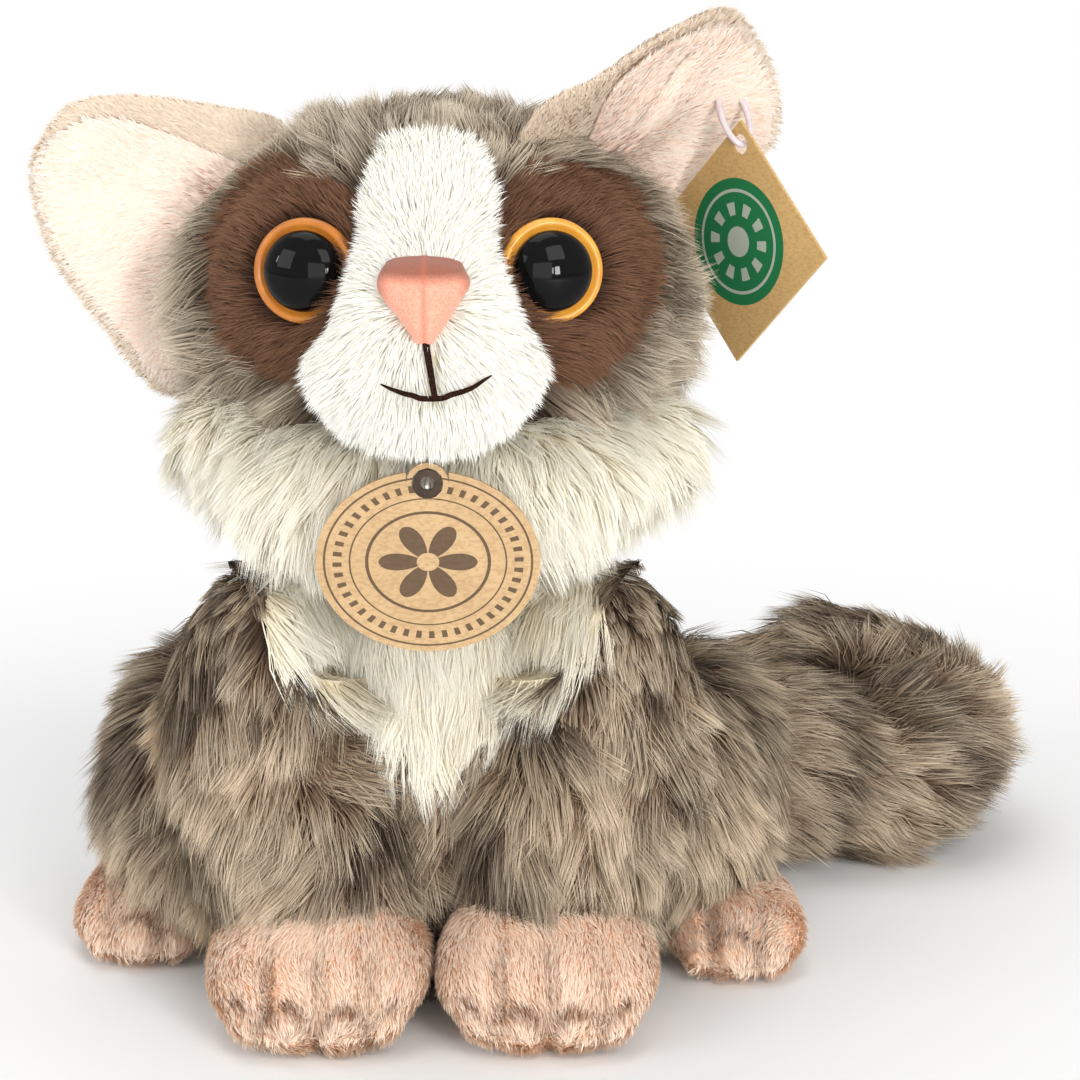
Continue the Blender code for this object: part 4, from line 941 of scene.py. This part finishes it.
def airbrushed(front, middle, half, lines, seed):
    """Brown in the grooves and in a short arc on the front of each toe."""
    edges = [-1.0, *lines, 1.0]
    toes = [(a + b) / 2 for a, b in zip(edges, edges[1:])]

    def tone(points):
        share = (points[:, 0] - middle) / half
        shade = 0.80 + 0.07 * waves(points, 0.008, seed)
        shade -= 0.36 * np.clip(toe_grooves(points, front, middle, half, lines), 0, 1)
        for toe in toes:
            along = (share - toe) * half / 0.0036
            high = (points[:, 2] - 0.0105 + 0.0022 * along**2) / 0.0015
            near = np.clip((front + 0.009 - points[:, 1]) / 0.004, 0, 1)
            shade -= 0.66 * near * np.exp(-(along**4) - high**2)
        return shade

    return tone


for side, sign in (("right", -1), ("left", 1)):
    for kind, forms, body, nodes, beside, front, middle, half, lines in (
        ("paw", paws, "foreleg_" + side, ["forepaw_" + side], "foreleg_",
         paw_front, sign * paw_middle, paw_half, paw_lines),
        ("foot", feet, "torso", ["hind_foot_" + side, f"hind_foot_{side}_filling"], "thigh_",
         -foot_fores[side], sign * foot_middle, foot_half, foot_lines),
    ):
        piece = sewn(f"{kind}_backing_{side}", forms[side], peach_backing, body)
        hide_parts(*nodes)
        piece = pile(
            f"{kind}_pile_{side}", forms[side], peach_pile, body, 8.5, 0.0023, 0.00024, 0.62, forward,
            airbrushed(front, middle, half, lines, 111 + sign), 110 + sign,
            hidden=others("torso", beside + side), swirl=0.5, locks=8, gather=0.3,
        )

# ---------------------------------------------------------------- ears
# A cupped front panel of short pink-cream plush is sewn on a beige back panel, which rolls over the
# upper edge. Both are let into the head's seam; near it the front panel's pile carries painted shade in
# brown.

ear_length, ear_half, ear_cup, cup_middle = 0.0430, 0.0255, 0.0070, 0.35
ear_frames = {}
for side, sign, root, lift, turn in (
    ("right", -1, (-0.0330, 0.0080, 0.0060), math.radians(165), math.radians(-8)),
    ("left", 1, (0.0270, 0.0080, 0.0190), math.radians(45), math.radians(53)),
):
    grow = np.array([math.cos(lift), 0, math.sin(lift)])
    flat = np.array([-grow[2], 0, grow[0]]) * sign
    wide = flat * math.cos(turn) + np.array([0, -1.0, 0]) * math.sin(turn)
    face = np.cross(grow, wide)
    ear_frames[side] = (head_centre + root, grow, wide, face if face[1] < 0 else -face)

# millimetres from the root along the ear and across it: the back panel's rim, then the front panel's
ear_rims = {
    "right": (
        ((-3, 22), (2.2, 25.4), (12.4, 24.8), (24.7, 23.3), (33.3, 20.9), (38.2, 17.6), (41.2, 11.6),
        (42.0, 6.2), (40.3, 0.3),
         (36.6, -6.0), (30.6, -12.0), (23.4, -17.6), (17.4, -22.4), (11.0, -26.5), (4, -26),
         (-3, -18), (-6, 0)),
        ((-3, 12), (3, 15.5), (10.2, 16.4), (21.0, 18.0), (30.6, 17.8), (36.6, 14.8), (39.8, 10.0),
        (40.7, 5.6), (38.9, 0.4),
         (35.2, -5.3), (29.4, -11.0), (22.4, -16.4), (16.2, -21.2), (10.0, -25.0), (3, -24),
         (-4, -16), (-6, 0)),
    ),
    "left": (
        ((0, 27), (7.8, 31.0), (15.4, 27.8), (22.4, 23.9), (29.5, 19.2), (37.2, 11.8), (40.3, 3.0),
        (39.9, -6.4), (37.6, -16.0),
         (33.6, -24.0), (27.6, -29.6), (19.0, -30.6), (9, -28), (0, -24), (-5, -12), (-6, 0), (-5, 14)),
        ((2, 9), (8.2, 12.5), (15.4, 19.0), (21.0, 20.8), (27.5, 17.6), (34.6, 10.9), (38.4, 2.6),
        (38.1, -6.0), (35.8, -15.2),
         (31.9, -22.6), (26.4, -27.6), (18.6, -28.4), (9, -26), (0, -22), (-5, -12), (-6, -4), (-3, 4)),
    ),
}


def ear_panel(side, rim, middle, half):
    """A softly stuffed panel inside a rim, laid on the ear's cup."""
    root, grow, wide, face = ear_frames[side]
    rim = smoothed([*rim, rim[0]], 6)[:-1] / 1000
    core = np.array([0.020, 0.0])

    def ring(share, rise):
        flat = core + (rim - core) * share
        cup = ear_cup * flat[:, :1] / ear_length * ((flat[:, 1:] / ear_half) ** 2 - cup_middle)
        off_line = (flat[:, 1:] - 0.004 - 0.22 * (flat[:, :1] - 0.012)) / 0.0016
        crease = np.exp(-(off_line**2)) * np.clip((flat[:, :1] - 0.008) / 0.01, 0, 1)
        crease = crease * np.clip((0.034 - flat[:, :1]) / 0.006, 0, 1) * (0.0011 if rise > 0 else 0.0)
        lump = 0.0007 * waves(np.hstack([flat, flat[:, :1] * 0]), 0.022, 7)[:, None]
        return root + grow * flat[:, :1] + wide * flat[:, 1:] + face * (cup + middle + rise + lump - crease)

    shares = np.sin(np.linspace(0.08, 0.94, 16) * np.pi / 2)
    crown = half * np.sqrt(1 - shares**6)
    rings = [ring(s, c) for s, c in zip(shares, crown)] + [ring(1.0, 0.0)]
    rings += [ring(s, -c) for s, c in zip(shares[::-1], crown[::-1])]
    return ringed(rings, ring(0.0, half)[0], ring(0.0, -half)[0])


inner_backing = fabric("inner_backing", srgb(253, 234, 220), srgb(248, 222, 204))
outer_backing = fabric("outer_backing", srgb(236, 219, 198), srgb(222, 202, 180))
# The front panel's fourth colour is the painted shade near the ear's root.
inner_pile = fibre(
    "inner_pile", srgb(253, 230, 212), srgb(255, 238, 222), srgb(255, 247, 238), srgb(160, 100, 68), 0.03
)
outer_pile = fibre(
    "outer_pile", srgb(226, 207, 184), srgb(236, 219, 198), srgb(246, 233, 216), srgb(196, 172, 146), 0.04
)


def from_root(side):
    """Brushed out from the ear's root to its rim."""
    root, grow, wide, _ = ear_frames[side]

    def comb(points, normals):
        out = (points - root) @ wide
        return grow + wide * (out / 0.030)[:, None] + np.array([0, 0, -0.3])

    return comb


def root_painted_shade(side, seed):
    """Painted shade in brown near the root, where the front panel goes into the head."""
    root, grow, wide, _ = ear_frames[side]

    def tone(points):
        along, across = (points - root) @ grow, (points - root) @ wide
        close = np.clip((0.021 - along) / 0.012, 0, 1) * np.clip((0.020 - np.abs(across)) / 0.008, 0, 1)
        return 0.80 + 0.09 * waves(points, 0.010, seed) - 0.42 * close

    return tone


for side in ("right", "left"):
    whole, front = ear_rims[side]
    back_form = backing(*ear_panel(side, whole, -0.0006, 0.0013), 0.0)
    front_form = backing(*ear_panel(side, front, 0.0012, 0.0012), 0.0)
    front_tree, back_tree = tree_of(front_form), tree_of(back_form)
    piece = sewn("ear_back_" + side, back_form, outer_backing, "ear_" + side)
    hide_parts(f"ear_{side}_back")
    piece = sewn("ear_front_" + side, front_form, inner_backing, "ear_" + side)
    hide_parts(f"ear_{side}_front")
    piece = pile(
        "ear_back_pile_" + side, back_form, outer_pile, "ear_" + side, 6.0, 0.0018, 0.00021, 0.32,
        from_root(side), grey_tone(121, 0.70, 0.6), 120,
        hidden=[trees["head"], front_tree], swirl=0.4, locks=10, gather=0.3, soft=0.88,
    )
    piece = pile(
        "ear_front_pile_" + side, front_form, inner_pile, "ear_" + side, 6.0, 0.0018, 0.00021, 0.34,
        from_root(side), root_painted_shade(side, 131), 130,
        hidden=[trees["head"], back_tree], swirl=0.4, locks=10, gather=0.3, soft=0.88,
    )

# ---------------------------------------------------------------- safety eyes
# Each eye is a moulded amber plastic disc with a raised rim and a glossy black dome in its middle. A
# washer locks its shank inside the head. Both eyes are of one amber; the right eye's darker copy is painted
# shade.


def turned_piece(name, profile, middle, axis, material, body, segments=72):
    """A profile of (radius, height) points turned about an axis, closed at both ends."""
    start, *between, end = profile
    side = unit(np.cross(axis, [0, 0, 1.0]))
    rise = np.cross(side, axis)
    angles = np.linspace(0, 2 * np.pi, segments, endpoint=False)[:, None]
    rings = [middle + axis * h + (side * np.cos(angles) + rise * np.sin(angles)) * r for r, h in between]
    points, faces = ringed(rings, middle + axis * start[1], middle + axis * end[1])
    return sewn(name, backing(points, faces, 0.0), material, body)


def moulded(name, colour, rough, gloss, edge):
    """Moulded plastic in two close shades, with faint flow marks in its gloss."""
    made, nodes, shader = finish_of(name, gloss=gloss)
    flow = added(nodes, "TexNoise", {"Scale": 260})
    uneven = ranged(nodes, flow.outputs["Fac"], 0.3, 0.7)
    joined(
        nodes,
        (added(nodes, "TexCoord").outputs["Object"], flow.inputs["Vector"]),
        (mixed(nodes, uneven, colour, edge), shader.inputs["Base Color"]),
        (ranged(nodes, flow.outputs["Fac"], 0.3, 0.7, rough, rough * 1.5), shader.inputs["Roughness"]),
    )
    return made


black_plastic = moulded("black_plastic", (0.0016, 0.0016, 0.0018, 1), 0.03, 0.15, (0.0030, 0.0026,
0.0024, 1))
washer_plastic = moulded("washer_plastic", srgb(206, 204, 198), 0.35, 0.4, srgb(190, 188, 180))
# One amber plastic: a lit copy for the left eye and a darker copy with painted shade for the right eye.
lit_and_shaded_ambers = {
    "right": (srgb(206, 130, 48), srgb(182, 106, 34)),
    "left": (srgb(238, 170, 64), srgb(218, 142, 44)),
}
for side, (lighter, deeper) in lit_and_shaded_ambers.items():
    back, facing = eye_places[side]
    amber_plastic = moulded("amber_plastic_" + side, lighter, 0.22, 0.5, deeper)
    rim = [(0, 0), (0.0086, 0), (0.0089, 0.0006), (0.0090, 0.0013), (0.0089, 0.0019), (0.0086, 0.0024)]
    rim += [(0.0082, 0.0026), (0.0078, 0.0025), (0.0074, 0.0021), (0.0070, 0.0019), (0, 0.0019)]
    piece = turned_piece("eye_ring_" + side, rim, back, facing, amber_plastic, "head")
    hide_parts("eye_body_" + side)
    dome = [(0, 0.0018), (0.0067, 0.0018), (0.00685, 0.0020), (0.00690, 0.0023)]
    climbs = np.radians(np.linspace(6, 84, 22))
    dome += [(0.00690 * math.cos(a), 0.0024 + 0.0036 * math.sin(a)) for a in climbs] + [(0, 0.0060)]
    piece = turned_piece("eye_dome_" + side, dome, back, facing, black_plastic, "head", 96)
    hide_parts("eye_pupil_" + side)
    bpy.data.objects["eye_washer_" + side].material_slots[0].material = washer_plastic

# ---------------------------------------------------------------- nose and mouth
# The nose is a small stuffed form of pink suede cloth with a crease down its middle, with painted shade
# in brown at its sides, its upper edge and its crease. The mouth is two lines of dark brown thread drawn
# into the muzzle's pile.


def on_muzzle(x, z, lift):
    """The point of the muzzle's front at this x and height, lifted off its backing."""
    place, normal, _, _ = trees["muzzle"].ray_cast(Vector((x, -0.2, z)), Vector((0, 1, 0)))
    return np.array(place + normal * lift)


suede, nodes, shader = finish_of("nose_suede", 0.75, 0.25)
shader.inputs["Sheen Weight"].default_value = 0.25
spot = added(nodes, "TexCoord")
split = added(nodes, "SeparateXYZ")
nap = added(nodes, "TexNoise", {"Scale": 2600})
sides = added(nodes, "Math", operation="ABSOLUTE")
bump = added(nodes, "Bump", {"Strength": 0.25, "Distance": 0.0002})
tint = srgb(238, 152, 126)
# Lighter flecks of nap; then painted shade in brown towards the sides, at the upper edge where the nose
# meets the muzzle, and down the middle crease.
for share, colour in (
    (ranged(nodes, nap.outputs["Fac"], 0.35, 0.65), srgb(248, 174, 150)),
    (ranged(nodes, sides.outputs[0], 0.0055, 0.0080, 0.0, 0.75), srgb(150, 84, 56)),
    (ranged(nodes, split.outputs["Z"], 0.1374, 0.1392, 0.0, 0.8), srgb(120, 62, 40)),
    (ranged(nodes, sides.outputs[0], 0.0007, 0.0, 0.0, 0.45), srgb(196, 104, 82)),
):
    tint = mixed(nodes, share, tint, colour)
joined(
    nodes,
    (spot.outputs["Object"], split.inputs[0]),
    (spot.outputs["Object"], nap.inputs["Vector"]),
    (split.outputs["X"], sides.inputs[0]),
    (tint, shader.inputs["Base Color"]),
    (nap.outputs["Fac"], bump.inputs["Height"]),
    (bump.outputs[0], shader.inputs["Normal"]),
)

nose_tip, nose_high = 0.1277, 0.0115
nose_profile = (
    (0.06, 0.84, 0.6, 0.0014),
    (0.32, 1.0, 1.0, 0.0024),
    (0.64, 0.64, 0.9, 0.0024),
    (0.94, 0.26, 0.6, 0.0022),
)
rows = []
for drop, wide, deep, out in nose_profile:
    place = on_muzzle(0, nose_tip + nose_high * (1 - drop), out)
    rows.append((*place, wide * 0.0076, deep * 0.0034))
points, faces = stuffed_tube(rows, (0, 1, 0), (0.35, 0.6), segments=96, steps=12)
points[:, 1] += 0.0007 * np.exp(-((points[:, 0] / 0.0007) ** 2))
points[:, 1] += 0.12 * np.abs(points[:, 0])
piece = sewn("nose_form", backing(points, faces, 0.0), suede, "head")
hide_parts("nose")

dark_thread = fabric("dark_thread", srgb(62, 36, 24), srgb(36, 20, 13), 2400.0)
stem = [on_muzzle(0.0002 * k, 0.1290 - 0.0094 * k / 8, 0.0022) for k in range(9)]
lip = []
for k in range(15):
    x = -0.0075 + 0.0165 * k / 14
    lip.append(on_muzzle(x + 0.0010, 0.1193 + 0.0020 * (x / 0.0075) ** 2, 0.0023))
lip_sizes = 0.00048 * np.sqrt(np.clip(1 - np.abs(np.linspace(-1, 1, 15)) ** 3, 0.08, 1))
for name, line, sizes, node_name in (
    ("mouth_stem", stem, np.linspace(0.00060, 0.00052, 9), "mouth_line"),
    ("mouth_lip", lip, lip_sizes, "mouth_smile"),
):
    rows = [(*place, size, size) for place, size in zip(line, sizes)]
    thread = backing(*stuffed_tube(rows, (0, 1, 0), (1.0, 1.0), segments=12, steps=4), 0.0)
    piece = sewn(name, thread, dark_thread, "head")
    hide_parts(node_name)

# ---------------------------------------------------------------- neck
# A round plug of filling under the head. It stands in for the seam where the head is sewn on, and the
# pile covers it.

rows = [(0, -neck_lean, z, size, size) for z, size in ((0.0685, 0.0112), (0.0760, 0.0116),
(0.0840, 0.0112))]
plug = backing(*stuffed_tube(rows, (0, 1, 0), (0.1, 0.1)), 0.0)
piece = sewn("neck_backing", plug, cream_backing, "neck")
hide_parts("neck_filling")

# ---------------------------------------------------------------- cards
# An oval kraft card on a pin at the chest, with an eyelet, and a square one on a plastic loop through
# the left ear. Each is die cut from unbleached board and printed in one or two colours.


def reckoned(group, operation, first, second=0.0):
    """One sum in a node tree; each part is a socket or a number."""
    node = added(group, "Math", operation=operation)
    for socket, value in zip(node.inputs, (first, second)):
        if isinstance(value, bpy.types.NodeSocket):
            group.links.new(value, socket)
        else:
            socket.default_value = value
    return node.outputs[0]


def times(group, first, second):
    return reckoned(group, "MULTIPLY", first, second)


# Unbleached board: long pale and dark fibres, flecks and a soft mottle.
board, inside, outside = shared_effect("board", ("Paper", "Fibre"), (), height=True)
spot = added(board, "TexCoord")
stretch = added(board, "Mapping", {"Scale": (1100, 1100, 2300)})
strands = added(board, "TexNoise", {"Detail": 5, "Scale": 1.0})
mottle = added(board, "TexNoise", {"Scale": 170})
thin = ranged(board, strands.outputs["Fac"], 0.44, 0.62, 0.0, 0.55)
cloud = ranged(board, mottle.outputs["Fac"], 0.35, 0.7, 0.0, 0.25)
tint = mixed(board, thin, inside.outputs["Paper"], inside.outputs["Fibre"])
joined(
    board,
    (spot.outputs["Object"], stretch.inputs["Vector"]),
    (stretch.outputs[0], strands.inputs["Vector"]),
    (spot.outputs["Object"], mottle.inputs["Vector"]),
    (mixed(board, cloud, tint, inside.outputs["Fibre"]), outside.inputs["Colour"]),
    (strands.outputs["Fac"], outside.inputs["Height"]),
)


def printed_card(name, middle, level, outward, half_wide, half_high, pale, dark):
    """A card material, with the printed face's own coordinates: distance from the middle in half
    sizes, angle, and 1 on the printed side."""
    made, nodes, shader = finish_of(name, 0.8, 0.3)
    paper = nodes.nodes.new("ShaderNodeGroup")
    paper.node_tree = board
    paper.inputs["Paper"].default_value = pale
    paper.inputs["Fibre"].default_value = dark
    spot = added(nodes, "TexCoord")
    bump = added(nodes, "Bump", {"Strength": 0.25, "Distance": 0.0001})
    away = added(nodes, "VectorMath", {1: middle}, operation="SUBTRACT")
    turned = added(nodes, "VectorMath", {1: outward}, operation="DOT_PRODUCT")
    joined(
        nodes,
        (paper.outputs["Height"], bump.inputs["Height"]),
        (bump.outputs[0], shader.inputs["Normal"]),
        (spot.outputs["Object"], away.inputs[0]),
        (spot.outputs["Normal"], turned.inputs[0]),
    )
    shares = []
    for way, half in ((level, half_wide), ((0, 0, 1), half_high)):
        part = added(nodes, "VectorMath", {1: way}, operation="DOT_PRODUCT")
        nodes.links.new(away.outputs[0], part.inputs[0])
        shares.append(reckoned(nodes, "DIVIDE", part.outputs["Value"], half))
    across, up = shares
    squares = reckoned(nodes, "ADD", times(nodes, across, across), times(nodes, up, up))
    far = reckoned(nodes, "SQRT", squares)
    front = reckoned(nodes, "GREATER_THAN", turned.outputs["Value"], 0.5)
    return made, nodes, paper, far, reckoned(nodes, "ARCTAN2", up, across), front


def band(nodes, value, low, high):
    """1 where a value lies between two others."""
    over = reckoned(nodes, "GREATER_THAN", value, low)
    return times(nodes, over, reckoned(nodes, "LESS_THAN", value, high))


def either_of(nodes, *masks):
    total = masks[0]
    for mask in masks[1:]:
        total = reckoned(nodes, "MAXIMUM", total, mask)
    return total


chest_card, nodes, paper, far, angle, front = printed_card(
    "chest_card", (0, -0.051, 0.0879), (1, 0, 0),
    (0, -1, 0), 0.0190, 0.0158, srgb(202, 170, 128), srgb(172, 138, 98)
)
ticks = reckoned(nodes, "GREATER_THAN", reckoned(nodes, "SINE", times(nodes, angle, 44.0)), 0.25)
ticks = times(nodes, ticks, band(nodes, far, 0.77, 0.85))
petals = reckoned(nodes, "ABSOLUTE", reckoned(nodes, "COSINE", times(nodes, angle, 3.0)))
petals = times(nodes, reckoned(nodes, "POWER", petals, 0.7), 0.44)
rosette = band(nodes, far, 0.10, petals)
rings = [band(nodes, far, low, high) for low, high in ((0.915, 0.935), (0.69, 0.705), (0.53, 0.56))]
ink = times(nodes, times(nodes, either_of(nodes, *rings, ticks, rosette), front), 0.85)
tint = mixed(nodes, ink, paper.outputs["Colour"], srgb(66, 50, 40))
nodes.links.new(tint, nodes.nodes["Principled BSDF"].inputs["Base Color"])
bpy.data.objects["chest_tag"].material_slots[0].material = chest_card

card_out, card_level = (-0.75471, -0.656059, 0), (-0.656059, 0.75471, 0)
ear_card, nodes, paper, far, angle, front = printed_card(
    "ear_card", (0.054793, 0.001644, 0.133155), card_level, card_out, 0.0115, 0.0115,
    srgb(212, 176, 118), srgb(184, 146, 92),
)
disc = times(nodes, reckoned(nodes, "LESS_THAN", far, 1.0), front)
tint = mixed(nodes, disc, paper.outputs["Colour"], srgb(26, 116, 68))
rays = reckoned(nodes, "GREATER_THAN", reckoned(nodes, "COSINE", times(nodes, angle, 10.0)), 0.1)
rays = times(nodes, rays, band(nodes, far, 0.42, 0.62))
motif = either_of(nodes, rays, band(nodes, far, 0.78, 0.83), reckoned(nodes, "LESS_THAN", far, 0.24))
tint = mixed(nodes, times(nodes, motif, front), tint, srgb(176, 186, 172))
nodes.links.new(tint, nodes.nodes["Principled BSDF"].inputs["Base Color"])
bpy.data.objects["ear_tag"].material_slots[0].material = ear_card

eyelet_metal = moulded("eyelet_metal", srgb(84, 70, 58), 0.32, 0.5, srgb(60, 48, 40))
eyelet_metal.node_tree.nodes["Principled BSDF"].inputs["Metallic"].default_value = 0.8
bpy.data.objects["chest_tag_eyelet"].material_slots[0].material = eyelet_metal
loop_plastic = moulded("loop_plastic", srgb(232, 220, 224), 0.3, 0.5, srgb(218, 204, 210))
bpy.data.objects["chest_tag_pin"].material_slots[0].material = loop_plastic

in_ear, in_card = np.array([0.052793, 0.011644, 0.159775]), np.array([0.054793, 0.001644, 0.150775])
long_half, outward = (in_ear - in_card) / 2, np.array(card_out)
short_half = outward - long_half * (outward @ long_half) / (long_half @ long_half)
short_half = unit(short_half) * 0.0030
wire, rounds, sides = [], 64, 12
ends = np.linspace(0, 2 * np.pi, sides, endpoint=False)[:, None]
axis = unit(np.cross(long_half, short_half))
for turn in np.linspace(0, 2 * np.pi, rounds, endpoint=False):
    place = in_ear - long_half + long_half * math.cos(turn) + short_half * math.sin(turn)
    along = unit(short_half * math.cos(turn) - long_half * math.sin(turn))
    wire.append(place + (np.cross(along, axis) * np.cos(ends) + axis * np.sin(ends)) * 0.0006)
points = np.array(wire).reshape(-1, 3)
faces = []
for t in range(rounds):
    for k in range(sides):
        n, m = (t + 1) % rounds, (k + 1) % sides
        faces.append((t * sides + k, n * sides + k, n * sides + m, t * sides + m))
piece = sewn("ear_loop", backing(points, faces, 0.0), loop_plastic, "ear_left")
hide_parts("ear_tag_loop")

low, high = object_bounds()
